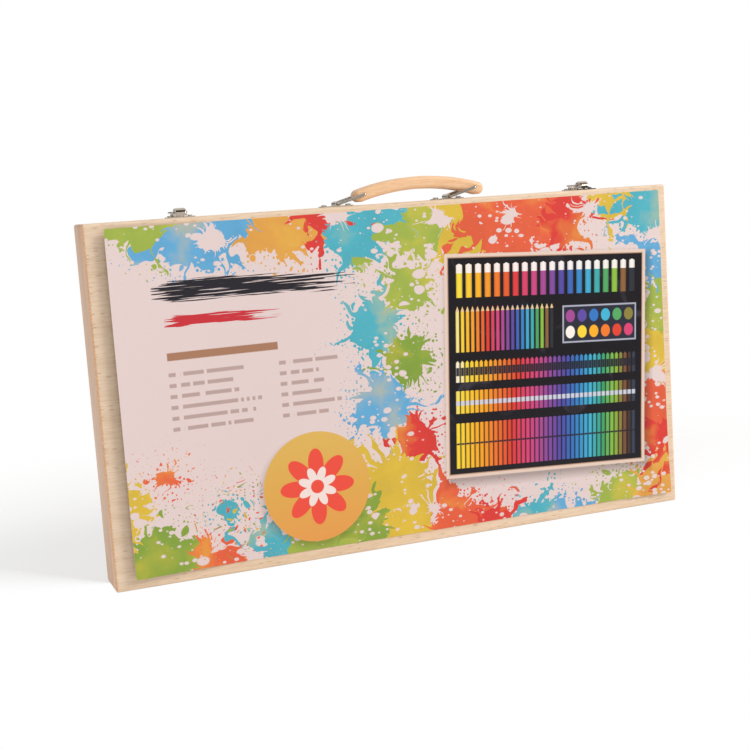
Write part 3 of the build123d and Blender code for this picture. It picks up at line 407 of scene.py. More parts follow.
PEN_PITCH_MM = 10.6
PEN_GAP_MM = 12.0
MARKER_PITCH_MM = 18.5
WHITE = [(0.0, "#efeeea"), (1.0, "#f3f2ee")]
moulded("fibre_pen_barrel", "fibre_pens", PEN_PITCH_MM, 18, 2, PEN_GAP_MM, RAINBOW)
moulded("fibre_pen_cap", "fibre_pen_caps", PEN_PITCH_MM, 18, 2, PEN_GAP_MM, RAINBOW, 0.28)
moulded("maxi_marker_barrel", "maxi_markers", MARKER_PITCH_MM, 10, 2, GROUP_GAP_MM, RAINBOW)
moulded("maxi_marker_cap", "maxi_marker_caps", MARKER_PITCH_MM, 10, 2, GROUP_GAP_MM, WHITE, 0.3)

# %% [markdown]
# ## Pencils
#
# A pencil is lime wood, dipped in coats of hard glossy lacquer and then sharpened. The cone shows the bare,
# dull wood, with a slightly ragged edge where the cutter left the lacquer, and then the lead.

# %% Finish for pencils
CONE_FROM, LEAD_FROM, RAGGED = 0.845, 0.955, 0.02
LACQUER_ROUGHNESS, WOOD_ROUGHNESS = 0.28, 0.65


def pencil(name, node, pitch, count, stops, lead_stops):
    """Lacquer over wood, bare at the cone, with the lead at its tip."""
    material, add, shader, place = new_material(name, LACQUER_ROUGHNESS, Coat_Weight=0.5, Coat_Roughness=0.12)
    number = stick_share(add, place, node, pitch, count)
    lacquer = add("ValToRGB", {"stops": stops}, number)
    lead = add("ValToRGB", {"stops": lead_stops}, number)
    share = length_share(add, place, node)
    ragged = add("TexNoise", Vector=place, Scale=0.5, Detail=1.0)
    waved = add("MULTIPLY_ADD", ragged, RAGGED, share)
    bare = add("GREATER_THAN", waved, CONE_FROM)
    fibres = add("TexNoise", Vector=place, Scale=1.5, Detail=3.0)
    lime = add("ValToRGB", {"stops": [(0.35, "#e2bf94"), (0.65, "#f0d6b0")]}, fibres)
    sharpened = add("Mix", COLOURS, bare, lacquer, lime)
    at_lead = add("GREATER_THAN", share, LEAD_FROM)
    shown = add("Mix", COLOURS, at_lead, sharpened, lead)
    dull = add("MapRange", bare, 0.0, 1.0, LACQUER_ROUGHNESS, WOOD_ROUGHNESS)
    feed(shader, Base_Color=shown, Roughness=dull)
    finish(material, node)


PENCIL_PITCH_MM = 10.0
GRAPHITE = [(0.0, "#3b3b3f"), (1.0, "#3b3b3f")]
BLACK_LACQUER = [(0.0, "#1d1c20"), (1.0, "#1d1c20")]
pencil("lacquered_colour_pencil", "colour_pencils", PENCIL_PITCH_MM, 20, RAINBOW, RAINBOW)
pencil("lacquered_graphite_pencil", "graphite_pencil", PENCIL_PITCH_MM, 2, BLACK_LACQUER, GRAPHITE)

# %% [markdown]
# ## The small things
#
# Paint box, glue stick and eraser are one plastic each: glossy for the box and the tube, and dull and soft to
# the eye for the eraser's vinyl. A printed band between two heights serves as label and as card sleeve.

# %% Plain moulded plastic, with an optional printed band
def plain_plastic(name, code, roughness, band=None, band_code="#ffffff"):
    """Moulded plastic in one colour. A band is the Z, in millimetres, between which a label lies."""
    material, add, shader, place = new_material(name, roughness)
    shown, haze = uneven(add, place, code, 1 / MOTTLE_MM, 4.0, 0.94, 1.02)
    if band:
        up = add("SeparateXYZ", place, out="Z")
        shown = add("Mix", COLOURS, between(add, up, *band), shown, band_code)
    dull = add("MapRange", haze, *NOISE_SPAN, roughness - 0.05, roughness + 0.08)
    feed(shader, Base_Color=shown, Roughness=dull)
    return material


glue_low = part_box("glue_stick")[0].z / MM
eraser_low, eraser_high = (corner.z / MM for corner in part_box("eraser"))
GLUE_LABEL_MM = (9, 41)
SLEEVE_TO = 0.62
glue_label = [glue_low + edge for edge in GLUE_LABEL_MM]
sleeve_top = eraser_low + SLEEVE_TO * (eraser_high - eraser_low)
finish(plain_plastic("polystyrene_white", "#f1f0ec", 0.35), "paint_box")
finish(plain_plastic("glue_tube", "#f1f0ec", 0.35, glue_label, "#e5a53c"), "glue_stick")
finish(plain_plastic("glue_cap", "#2f78c4", 0.3), "glue_stick_cap")
finish(plain_plastic("vinyl_in_card_sleeve", "#f4f2ee", 0.7, (0, sleeve_top), "#3f7fc0"), "eraser")

# %% [markdown]
# ## Paint pans
#
# A pan is a dished tablet of pressed colour: dull, chalky and a little crumbly. Two rows of six pans are told
# apart by their height and their place along the box, rounded to whole twelfths of the rainbow. Along a row
# the share stays a little under a half, so that it never rounds up into the next row.

# %% Finish for the paint pans
PANS = 12
ROW_SHARE = 0.49


def pan_finish():
    material, add, shader, place = new_material("pressed_watercolour", 0.8)
    low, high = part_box("paint_pans")
    across, _, up = add("SeparateXYZ", place, out=None)
    upper = add("GREATER_THAN", up, (low.z + high.z) / 2 / MM)
    column = add("MapRange", across, high.x / MM, low.x / MM, 0.0, ROW_SHARE)
    share = add("SNAP", add("MULTIPLY_ADD", upper, 0.5, column), 1 / PANS)
    pigment = add("ValToRGB", {"stops": RAINBOW}, share)
    shown, grain = uneven(add, place, pigment, 1.2, 6.0, 0.8, 1.05)
    feed(shader, (grain, 0.5, 0.2), Base_Color=shown)
    return material


finish(pan_finish(), "paint_pans")

# %% [markdown]
# ## Ruler
#
# The ruler is a strip of clear polystyrene, so the black tray shows through it. Its marks are solid ink, and
# longer at every fifth and tenth millimetre. They are plain strokes with no numbers.

# %% Finish for the ruler
CLEARNESS = 0.55
MARKS = [
    # every so many mm, length, half width as a share of the step
    (1.0, 3.2, 0.14), (5.0, 4.6, 0.03), (10.0, 6.2, 0.018),
]


def ruler_finish():
    material, add, shader, place = new_material("clear_polystyrene_ruler", 0.2)
    low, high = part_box("ruler")
    across, _, up = add("SeparateXYZ", place, out=None)
    from_edge = add("SUBTRACT", across, low.x / MM)
    marks = 0.0
    for pitch, reach, half in MARKS:
        step = add("FRACT", add("DIVIDE", up, pitch))
        line = add("COMPARE", step, 0.5, half)
        near = add("LESS_THAN", from_edge, reach)
        marks = add("MAXIMUM", marks, add("MULTIPLY", line, near))
    shown = add("Mix", COLOURS, marks, "#e4edf1", "#2a2c33")
    clear = add("MapRange", marks, 0.0, 1.0, CLEARNESS, 0.0)
    feed(shader, Base_Color=shown, Transmission_Weight=clear)
    return material


finish(ruler_finish(), "ruler")

# %% [markdown]
# ## Brush and sharpener
#
# Each is two materials in one piece, with bare metal from some place on. The brush has a handle in glossy
# lacquer and a bright ferrule that mirrors, followed by hair in fine brown strands. The sharpener is smooth
# moulded plastic with a greyer steel blade.

# %% Finishes for brush and sharpener
def two_part(name, axis, edge, coat, metal_code, roughness):
    """Coloured lacquer or plastic below a place on this axis, and bare metal above it."""
    material, add, shader, place = new_material(name, roughness)
    past = add("GREATER_THAN", add("SeparateXYZ", place, out=axis), edge)
    pair = add("Mix", COLOURS, past, coat, metal_code)
    shown = uneven(add, place, pair, 0.9, 4.0, 0.88, 1.04)[0]
    feed(shader, Base_Color=shown, Metallic=past)
    return material, add, shader, place, past, shown


FERRULE_FROM, HAIR_FROM = 0.78, 0.9
BLADE_MM = 0.9
PLASTIC_ROUGHNESS, STEEL_ROUGHNESS = 0.3, 0.25
brush_low, brush_high = (corner.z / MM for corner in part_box("brush"))
ferrule_z, hair_z = (brush_low + share * (brush_high - brush_low) for share in (FERRULE_FROM, HAIR_FROM))
brush, add, shader, place, in_metal, painted = two_part(
    "brush_lacquer_and_ferrule", "Z", ferrule_z, "#b5342b", "#cfcbc2", 0.25)
in_hair = add("GREATER_THAN", add("SeparateXYZ", place, out="Z"), hair_z)
hair_place = add("VectorMath", "MULTIPLY", place, (4.0, 4.0, 0.15))
strands = add("TexNoise", Vector=hair_place, Scale=1.0, Detail=2.0)
hair = add("ValToRGB", {"stops": [(0.35, "#5a3520"), (0.65, "#b07a48")]}, strands)
bare_metal = add("SUBTRACT", in_metal, in_hair)
feed(shader, Base_Color=add("Mix", COLOURS, in_hair, painted, hair), Metallic=bare_metal)
finish(brush, "brush")
blade_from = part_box("sharpener")[1].y / MM - BLADE_MM
sharpener, add, shader, _, in_metal, _ = two_part(
    "sharpener_body_and_blade", "Y", blade_from, "#2c6fb5", "#b9b8b4", PLASTIC_ROUGHNESS)
feed(shader, Roughness=add("MapRange", in_metal, 0.0, 1.0, PLASTIC_ROUGHNESS, STEEL_ROUGHNESS))
finish(sharpener, "sharpener")

# %% [markdown]
# ## The card: its sheet
#
# A printed board lies on the front panel. It is flat over most of its width, and has sprung away from the
# wood along its left edge, where it throws a soft shadow. A plane could be bent with a modifier, but a
# closed thin box is as easy: its corners are rounded with a bevel, cuts are made where it has to bend, and
# each point is then moved out along a long arc.

# %% Make the card's sheet
card_low, card_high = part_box("printed_card")
panel_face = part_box("lid_panel")[0].y
CARD_T_MM = 0.6
CARD_CORNER_MM = 1.5
BOW_W_MM = 110.0
LIFT_W_MM = 80.0
LIFT_MM = 3.0
BEND_STEP_MM = 5.0
SHARP_EDGE = math.radians(30)
card_bow = panel_face - CARD_T_MM * MM - card_low.y
bow_w = BOW_W_MM * MM
bow_radius = (bow_w ** 2 + card_bow ** 2) / (2 * card_bow)


def spring(x, z):
    """How far the card stands off the panel: a long bow at its left, and a lifted corner low at its right."""
    past = max(0.0, card_low.x + bow_w - x)
    bow = bow_radius - math.sqrt(bow_radius ** 2 - past ** 2)
    corner = math.hypot(card_high.x - x, z - card_low.z) / (LIFT_W_MM * MM)
    return bow + LIFT_MM * MM * max(0.0, 1 - corner) ** 2


def card_mesh():
    """A thin box with rounded corners, cut where it bends and then bent."""
    sheet = bmesh.new()
    bmesh.ops.create_cube(sheet, size=1.0)
    size = (card_high.x - card_low.x, CARD_T_MM * MM, card_high.z - card_low.z)
    centre = ((card_low.x + card_high.x) / 2, panel_face - CARD_T_MM * MM / 2, (card_low.z + card_high.z) / 2)
    bmesh.ops.scale(sheet, vec=size, verts=sheet.verts[:])
    bmesh.ops.translate(sheet, vec=centre, verts=sheet.verts[:])
    through = [edge for edge in sheet.edges if abs(edge.verts[0].co.y - edge.verts[1].co.y) > 0.1 * MM]
    bmesh.ops.bevel(sheet, geom=through, offset=CARD_CORNER_MM * MM, offset_type="OFFSET", segments=4,
                    profile=0.5, affect="EDGES", material=-1)
    bends = [card_low.x + step * BEND_STEP_MM * MM for step in range(1, int(BOW_W_MM / BEND_STEP_MM) + 1)]
    lifts = [step * BEND_STEP_MM * MM for step in range(1, int(LIFT_W_MM / BEND_STEP_MM) + 1)]
    bends += [card_high.x - lift for lift in lifts]
    rises = [card_low.z + lift for lift in lifts]
    for normal, places in (((1, 0, 0), bends), ((0, 0, 1), rises)):
        for place in places:
            everything = sheet.verts[:] + sheet.edges[:] + sheet.faces[:]
            point = [place * part for part in normal]
            bmesh.ops.bisect_plane(sheet, geom=everything, plane_co=point, plane_no=normal)
    for vert in sheet.verts:
        vert.co.y -= spring(vert.co.x, vert.co.z)
    for face in sheet.faces:
        face.smooth = True
        face.material_index = 0 if face.normal.y < -0.5 else 1
    for edge in sheet.edges:
        edge.smooth = edge.calc_face_angle(0.0) < SHARP_EDGE
    bmesh.ops.recalc_face_normals(sheet, faces=sheet.faces[:])
    return sheet


sheet = card_mesh()
mesh = bpy.data.meshes.new("card_sheet")
sheet.to_mesh(mesh)
sheet.free()
card = bpy.data.objects.new("card_sheet", mesh)
bpy.context.scene.collection.objects.link(card)
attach(card, "lid")
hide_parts("printed_card")
print("card faces:", len(mesh.polygons), "stands off by mm:", round(card_bow / MM, 2))

# %% [markdown]
# ## The card: its print
#
# The print is bright paint splashed round a white ground, a dark board of colours, a gold disc, two dry brush
# strokes and lines of small bars. It could be an image, but a drawing in nodes stays sharp at any distance.
# All of it is drawn in the card's own plane, in millimetres. Small helpers do the work of a draughtsman: one
# measures how far a point lies outside a rectangle, one divides a length into cells of one pitch, one keeps
# only the part of a mask that meets some tests, and one lays an ink inside a shape with a soft edge.

# %% Helpers for drawing on the card
CARD_WHITE = "#e0cecd"
# No ink at the first distance in mm, and all of it at the second
SHARP = (0.3, -0.3, 0.0, 1.0)


def outside(add, point, centre, half):
    """Distance outside an upright rectangle, negative within it."""
    away = add("VectorMath", "SUBTRACT", point, (*centre, 0))
    over = add("VectorMath", "SUBTRACT", add("VectorMath", "ABSOLUTE", away), (*half, 0))
    across, up, _ = add("SeparateXYZ", over, out=None)
    return add("MAXIMUM", across, up)


def pitches(add, value, start, pitch):
    """A value in pitches from a start, the number of its cell, and its distance from that cell's middle."""
    cells = add("DIVIDE", add("SUBTRACT", value, start), pitch)
    off = add("SUBTRACT", add("FRACT", cells), 0.5)
    off = add("MULTIPLY", add("ABSOLUTE", off), pitch)
    return cells, add("FLOOR", cells), off


def only(add, mask, *tests):
    """The mask where every test is met as well, and nothing elsewhere."""
    for test in tests:
        mask = add("MULTIPLY", mask, add(*test))
    return mask


def lay(add, sheet, ink, distance, edge=SHARP, how=COLOURS):
    """An ink laid on the sheet inside a shape. The edge says how it grows from one distance to another."""
    return add("Mix", how, add("MapRange", distance, *edge), sheet, ink)


def new_group(name, given, made):
    """A node group, what adds nodes to it, the inputs given to it, and the end node for what it has made."""
    group = bpy.data.node_groups.new(name, "ShaderNodeTree")
    for way, sockets in (("INPUT", given), ("OUTPUT", made)):
        for label, kind in sockets.items():
            group.interface.new_socket(label, in_out=way, socket_type="NodeSocket" + kind)
    ends = group.nodes.new("NodeGroupInput").outputs, group.nodes.new("NodeGroupOutput")
    return group, partial(add_node, group), *ends

# %% [markdown]
# ### Splashes
#
# A splash is a circle whose reach changes with direction: slow noise gives its lobes, and fast noise raised
# to a power gives its spikes. Each splash is one use of a node group, which also passes on how far the
# nearest splash is and what ink it has. With that, drops can be scattered close round every splash.
#
# Paint that lands on wet paint is dragged along a little, so each splash shifts the next one slightly. That
# has a second use. The splashes have to be worked out one after another, while without this link Cycles
# would work on all of them at once and run out of room for the values in between.

# %% A node group for one splash
NO_SPLASH_MM = 60.0
SEED_STEP = 3.7
DRAG = (0.004, -0.003, 0.0)
SWELL = (0.7, 1.12)
SPIKE, THORN_SPAN = 0.9, (0.5, 0.85, 0.0, 1.0)
IN_PLANE = {"noise_dimensions": "2D"}


def splash_group():
    made = {"Point": "Vector", "Nearest": "Float", "Colour": "Color"}
    given = {"Point": "Vector", "Centre": "Vector", "Radius": "Float", "Seed": "Float", "Ink": "Color",
             "Nearest": "Float", "Colour": "Color"}
    group, add, given, end = new_group("paint_splash", given, made)
    point, centre, radius, seed, ink, nearest_yet, under, _ = given
    away = add("VectorMath", "SUBTRACT", point, centre)
    far = add("VectorMath", "LENGTH", away)
    own_way = add("VectorMath", "ADD", add("VectorMath", "NORMALIZE", away), seed)
    lobes = add("TexNoise", IN_PLANE, Vector=own_way, Scale=1.5, Detail=1.0)
    thorns = add("TexNoise", IN_PLANE, Vector=own_way, Scale=6.0, Detail=0.0)
    swell = add("MapRange", lobes, *NOISE_SPAN, *SWELL)
    spikes = add("POWER", add("MapRange", thorns, *THORN_SPAN), 2.0)
    grown = add("MULTIPLY_ADD", spikes, SPIKE, swell)
    edge = add("SUBTRACT", far, add("MULTIPLY", radius, grown))
    nearer = add("LESS_THAN", edge, nearest_yet)
    nearest = add("MINIMUM", edge, nearest_yet)
    dragged = add("VectorMath", "MULTIPLY_ADD", nearest, DRAG, point)
    feed(end, Point=dragged, Nearest=nearest, Colour=add("Mix", COLOURS, nearer, under, ink))
    return group


splash = splash_group()
print("nodes in one splash:", len(splash.nodes))

# %% [markdown]
# ### Where the splashes lie
#
# The inks are those of a child's paint box. Splashes crowd along the edges and down beside the board, and
# leave the left part white. Each is written as its centre and radius in millimetres, with its ink. A shorter
# list holds the bare splashes, where thrown white shows through the paint.

# %% The print's inks and splashes
TEAL, SKY, LEAF, LIME = "#4fb0c2", "#62a9d6", "#84a23f", "#9db24b"
GOLD, OCHRE, ORANGE, RED = "#d8b840", "#dea14a", "#e2603f", "#d93d37"
SPLASHES = [
    (-206, 282, 28, LIME), (-170, 272, 32, SKY), (-132, 284, 28, SKY), (-100, 266, 28, OCHRE),
    (-66, 280, 30, RED), (-40, 262, 28, TEAL), (-8, 280, 30, TEAL), (18, 262, 28, LIME),
    (50, 280, 28, GOLD), (82, 262, 32, ORANGE), (120, 278, 34, ORANGE), (150, 258, 26, RED),
    (198, 286, 32, GOLD), (242, 264, 34, TEAL), (252, 214, 28, SKY), (246, 170, 24, LIME),
    (254, 132, 28, GOLD), (246, 92, 28, ORANGE), (252, 48, 34, RED), (234, 6, 34, OCHRE),
    (192, 2, 24, LIME), (150, -8, 22, SKY), (112, 0, 18, TEAL), (74, -4, 26, RED),
    (38, 8, 30, ORANGE), (0, 2, 32, GOLD), (-36, 16, 28, LEAF), (-80, 4, 30, LIME),
    (-124, 2, 28, TEAL), (-166, 0, 28, ORANGE), (-208, 8, 32, LEAF), (-238, 52, 22, GOLD),
    (-10, 52, 26, GOLD), (14, 84, 18, RED), (-14, 112, 24, SKY), (8, 146, 19, LEAF),
    (-16, 178, 22, TEAL), (10, 208, 20, LIME), (56, 240, 18, GOLD), (104, 240, 18, ORANGE),
    (-194, 78, 8, ORANGE), (-34, 236, 7, LIME), (-150, 44, 7, TEAL),
]
BARE_SPLASHES = [
    (-152, 262, 9), (-52, 276, 9), (34, 264, 10), (98, 262, 8), (172, 264, 9),
    (240, 238, 7), (240, 116, 8), (16, 28, 8), (-142, 12, 8), (4, 126, 6),
]


def lay_splashes(add, point, splashes, first_seed=0):
    """How far the nearest splash is, and its ink."""
    nearest, ink = NO_SPLASH_MM, CARD_WHITE
    for seed, (x, y, radius, code) in enumerate(splashes, first_seed):
        spot = add("Group", {"node_tree": splash}, point, (x, y, 0), float(radius), seed * SEED_STEP,
                   code, nearest, ink, out=None)
        point, nearest, ink = spot["Point"], spot["Nearest"], spot["Colour"]
    return nearest, ink

# %% [markdown]
# ### Drops and the painted ground
#
# Thrown paint ends in drops of many sizes, most of them small. A grid of random points gives one drop to a
# cell. Round the splashes the drops are coloured, in the splashes they are bare board, and low at the left
# they are fine specks of mixed colours. Noise bends all of it a little, and lets the inks run together.

# %% Drops of many sizes
MOSTLY_SMALL = 1.6
DROP_EDGE = (0.03, -0.03, 0.0, 1.0)


def drops(add, point, cell_mm, largest, keep=1.0):
    """Round drops, one to a cell, as a mask and a random colour. Keep shrinks them where it is below 1."""
    spot = add("TexVoronoi", {"voronoi_dimensions": "2D"}, out=None, Vector=point, Scale=1 / cell_mm)
    size = add("POWER", add("SeparateColor", spot["Color"]), MOSTLY_SMALL)
    allowed = add("MULTIPLY", add("MULTIPLY", size, largest), keep)
    edge = add("SUBTRACT", spot["Distance"], allowed)
    return add("MapRange", edge, *DROP_EDGE), spot["Color"]

# %% Paint over the white board
WARP_MM, PATCH_MM, RUN_MM = 18, 30, 38
PATCHES, BLEED, DEPTH = (0.42, 0.62, 0.0, 1.0), (0.52, 0.75, 0.0, 0.45), (0.92, 1.06)
DROPS_WITHIN_MM = 26.0
# Cell in mm, and the largest radius as a share of it
WARPED_DROPS, ROUND_DROPS, SPECKS = (7.5, 0.5), (3.4, 0.45), (3.6, 0.42)
BARE_DROPS, BARE_STRETCH = [(13.0, 0.42), (6.5, 0.36)], (0.8, 1.15, 1.0)
SPECK_CENTRE, SPECK_REACH = (-150, 44, 0), (58.0, 10.0, 0.0, 1.0)


def painted_ground(add, point):
    """White board, splashes with bare drops in them, and drops of paint round them."""
    wander = add("TexNoise", IN_PLANE, Vector=point, Scale=1 / WARP_MM, Detail=1.0, out="Color")
    shift = add("VectorMath", "SUBTRACT", wander, (0.5, 0.5, 0.5))
    warped = add("VectorMath", "MULTIPLY_ADD", shift, (WARP_MM, WARP_MM, 0), point)
    nearest, ink = lay_splashes(add, warped, SPLASHES)
    white = [(*spot, CARD_WHITE) for spot in BARE_SPLASHES]
    bare = lay_splashes(add, warped, white, len(SPLASHES))[0]
    close = add("MapRange", nearest, DROPS_WITHIN_MM, 0.0, 0.0, 1.0)
    wet, dry = (add("MapRange", edge, *SHARP) for edge in (nearest, bare))
    for lain, sizes in ((warped, WARPED_DROPS), (point, ROUND_DROPS)):
        wet = add("MAXIMUM", wet, drops(add, lain, *sizes, close)[0])
    patches = add("TexNoise", IN_PLANE, Vector=point, Scale=1 / PATCH_MM, Detail=1.0)
    spotted = add("MapRange", patches, *PATCHES)
    flattened = add("VectorMath", "MULTIPLY", point, BARE_STRETCH)
    for sizes in BARE_DROPS:
        dry = add("MAXIMUM", dry, drops(add, flattened, *sizes, spotted)[0])
    mask = add("MULTIPLY", wet, add("SUBTRACT", 1.0, dry))
    run = add("TexNoise", IN_PLANE, Vector=warped, Scale=1 / RUN_MM, Detail=3.0)
    bled = add("Mix", COLOURS, add("MapRange", run, *BLEED), ink, GOLD)
    depth = add("MapRange", run, *NOISE_SPAN, *DEPTH)
    shaded = add("Mix", TINT, 1.0, bled, depth)
    sheet = add("Mix", COLOURS, mask, CARD_WHITE, shaded)
    from_specks = add("VectorMath", "DISTANCE", point, SPECK_CENTRE)
    thick = add("MapRange", from_specks, *SPECK_REACH)
    speck, chance = drops(add, warped, *SPECKS, thick)
    hue = add("SeparateColor", chance, out="Green")
    speck_ink = add("ValToRGB", {"stops": [(0.1, ORANGE), (0.4, GOLD), (0.6, LEAF), (0.9, RED)]}, hue)
    return add("Mix", COLOURS, speck, sheet, speck_ink)

# %% [markdown]
# ### The board of colours
#
# At the right lies a dark board with every kind of colour in long rows: thick markers, pencils beside a box
# of paints, crayons, pastels and felt pens. Each row of sticks is one use of a node group. The group passes
# on where the bars are, where each bar stands in the rainbow, and where the bars have a band, such as a
# label or a cap.

# %% A node group for one row of printed sticks
ROUND_SHADE = 0.55
ROW_SOCKETS = ["Left", "Right", "Low", "High", "Pitch", "Thick", "Tip", "Tone Left", "Tone Right",
               "Band Low", "Band High"]


def row_group():
    given = {"Point": "Vector", **dict.fromkeys(ROW_SOCKETS, "Float")}
    made = dict.fromkeys(("Mask", "Tone", "Band"), "Float")
    group, add, given, end = new_group("printed_row", given, made)
    point, left, right, low, high, pitch, thick, tip, *tones, band_from, band_to, _ = given
    across, up, _ = add("SeparateXYZ", point, out=None)
    _, number, off = pitches(add, across, left, pitch)
    taper = add("MINIMUM", add("DIVIDE", add("SUBTRACT", high, up), tip), 1.0)
    half = add("MULTIPLY", add("MULTIPLY", thick, 0.5), taper)
    inside = only(add, add("LESS_THAN", off, half), ("GREATER_THAN", across, left),
                  ("GREATER_THAN", right, across), ("GREATER_THAN", up, low))
    roundness = add("POWER", add("DIVIDE", off, half), 3.0)
    shading = add("MULTIPLY", roundness, -ROUND_SHADE)
    mask = add("MULTIPLY_ADD", shading, inside, inside)
    middle = add("MULTIPLY_ADD", add("ADD", number, 0.5), pitch, left)
    tone = add("MULTIPLY", add("MapRange", middle, left, right, *tones), inside)
    rise = add("MapRange", up, low, high, 0.0, 1.0)
    band = only(add, mask, ("GREATER_THAN", rise, band_from), ("LESS_THAN", rise, band_to))
    feed(end, Mask=mask, Tone=tone, Band=band)
    return group


printed_row = row_group()
print("nodes in one row:", len(printed_row.nodes))

# %% Rows of the board, in millimetres from its middle
WOOD_TIP, DARK_LABEL, PALE_LABEL, PEN_RING, WHITE_CAP = "#e6c495", "#262734", "#c9cede", "#2e2330", "#f1ece9"
ROWS = [
    # left, right, low, high, pitch, thick, tip, first and last tone, band from and to, ink of the band
    (-86, 86, 57, 85, 8.6, 5.6, 1.2, 0.04, 1.0, 0.72, 1.0, WHITE_CAP),
    (-86, 6, 12, 50, 4.6, 3.1, 4.2, 0.02, 1.0, 0.88, 0.97, WOOD_TIP),
    (-86, 86, -13, 5, 4.3, 3.3, 1.8, 0.00, 1.0, 0.30, 0.68, DARK_LABEL),
    (-86, 86, -39, -20, 4.3, 3.6, 0.3, 0.04, 1.0, 0.35, 0.55, PALE_LABEL),
    (-86, 86, -85, -47, 4.3, 3.5, 0.3, 0.06, 1.0, 0.52, 0.56, PEN_RING),
]
PAINT_BOX, PAINT_BOX_HALF, PAN_R = (50, 31), (36, 16), 4.4
PAN_PITCH, PAN_ROW, PAN_EDGE, BOX_RIM = 11.4, 13.68, (0.25, -0.25, 0.0, 1.0), 1.3

# %% Draw the board
BOARD_CENTRE = (128.0, 138.0, 0.0)
BOARD_TILT = 3.0
BOARD_HALF = (95.0, 93.0)
BORDER_W, BORDER_LINE = 3.4, 0.8
SHADE_SHIFT, BOARD_SHADE_EDGE = (3, -4), (6.0, -2.0, 0.0, 0.5)
GLARE_MM, GLARE = 40, (0.62, 0.8, 0.0, 0.12)


def board_rows(add, sheet, point):
    """Every row of sticks, and the bands on them."""
    tone, covered, bands = 0.0, 0.0, []
    for *numbers, code in ROWS:
        row = add("Group", {"node_tree": printed_row}, point, *map(float, numbers), out=None)
        tone = add("ADD", tone, row["Tone"])
        covered = add("MAXIMUM", covered, row["Mask"])
        bands.append((row["Band"], code))
    sheet = add("Mix", COLOURS, covered, sheet, add("ValToRGB", {"stops": RAINBOW}, tone))
    for band, code in bands:
        sheet = add("Mix", COLOURS, band, sheet, code)
    return sheet


def board_paints(add, sheet, point):
    """A clear box with two rows of round paints."""
    box = outside(add, point, PAINT_BOX, PAINT_BOX_HALF)
    sheet = lay(add, sheet, "#aeb2c4", box)
    sheet = lay(add, sheet, "#2b2c3c", add("ADD", box, BOX_RIM))
    corner = (PAINT_BOX[0] - 3 * PAN_PITCH, PAINT_BOX[1] - PAN_ROW, 0)
    inside = add("VectorMath", "SUBTRACT", point, corner)
    cells = add("VectorMath", "DIVIDE", inside, (PAN_PITCH, PAN_ROW, 1))
    number = add("VectorMath", "FLOOR", cells)
    off = add("VectorMath", "SUBTRACT", add("VectorMath", "FRACTION", cells), (0.5, 0.5, 0))
    far = add("VectorMath", "LENGTH", add("VectorMath", "SCALE", off, PAN_PITCH))
    order = add("VectorMath", "DOT_PRODUCT", number, (1 / PANS, 0.5, 0))
    pan = add("MapRange", add("SUBTRACT", far, PAN_R), *PAN_EDGE)
    pan = add("MULTIPLY", pan, add("MapRange", add("ADD", box, 1.0), *SHARP))
    return add("Mix", COLOURS, pan, sheet, add("ValToRGB", {"stops": RAINBOW}, order))


def board(add, sheet, flat):
    """Rows of colours on a dark board with a pale border, a little turned, with a soft shadow under it."""
    turned = add("VectorRotate", {"rotation_type": "Z_AXIS"}, flat, BOARD_CENTRE, math.radians(BOARD_TILT))
    point = add("VectorMath", "SUBTRACT", turned, BOARD_CENTRE)
    shade = outside(add, point, SHADE_SHIFT, BOARD_HALF)
    sheet = lay(add, sheet, "#4a4038", shade, BOARD_SHADE_EDGE, TINT)
    edge = outside(add, point, (0, 0), BOARD_HALF)
    for depth, code in ((0.0, "#e2cbbd"), (BORDER_W - BORDER_LINE, "#b9947e"), (BORDER_W, "#17141a")):
        sheet = lay(add, sheet, code, add("ADD", edge, depth))
    glare = add("TexNoise", IN_PLANE, Vector=point, Scale=1 / GLARE_MM, Detail=4.0, Distortion=1.0)
    shine = add("MapRange", glare, *GLARE)
    dark = add("MapRange", add("ADD", edge, BORDER_W), *SHARP)
    sheet = add("Mix", COLOURS, add("MULTIPLY", shine, dark), sheet, "#9a96ac")
    return board_paints(add, board_rows(add, sheet, point), point)

# %% [markdown]
# ### Disc, strokes and lines of bars
#
# A gold disc with a plain flower sits low at the left. Two dry brush strokes cross the top of the white part,
# a dark one and a red one: long thin noise stands for the hairs of the brush, and it breaks up where the
# paint starts and where it runs out. Between strokes and disc stand two short columns of broken grey bars.
# A random number for every few millimetres says where each bar is broken.

# %% Draw the disc
DISC_CENTRE = (-84.0, 60.0, 0.0)
DISC_R = 44.5
DISC_SHADE_SHIFT, DISC_SHADE_EDGE = (2.5, 3.5, 0), (DISC_R + 4, DISC_R - 3, 0.0, 0.35)
FLOWER = [
    # reach between petals, extra reach of a petal, turn, ink
    (16.5, 14.5, 0.0, "#ea4f3f"), (8.5, 8.0, 0.5, "#efe0dc"), (5.5, 0.0, 0.0, "#ea4f3f"),
]
PETALS = 8


def disc(add, sheet, flat):
    away = add("VectorMath", "SUBTRACT", flat, DISC_CENTRE)
    far = add("VectorMath", "LENGTH", away)
    shade = add("VectorMath", "LENGTH", add("VectorMath", "ADD", away, DISC_SHADE_SHIFT))
    sheet = lay(add, sheet, "#6b5566", shade, DISC_SHADE_EDGE, TINT)
    across, up, _ = add("SeparateXYZ", away, out=None)
    fall = add("MapRange", up, -DISC_R, DISC_R, 0.0, 1.0)
    gold = add("ValToRGB", {"stops": [(0.0, "#e39c50"), (0.45, "#dda850"), (1.0, "#dcb45c")]}, fall)
    sheet = lay(add, sheet, gold, add("SUBTRACT", far, DISC_R))
    angle = add("ARCTAN2", up, across)
    for reach, petal, turn, code in FLOWER:
        swing = add("MULTIPLY_ADD", angle, PETALS / 2, turn * math.pi)
        lobe = add("ABSOLUTE", add("COSINE", swing))
        edge = add("MULTIPLY_ADD", lobe, -petal, add("SUBTRACT", far, reach))
        sheet = lay(add, sheet, code, edge)
    return sheet

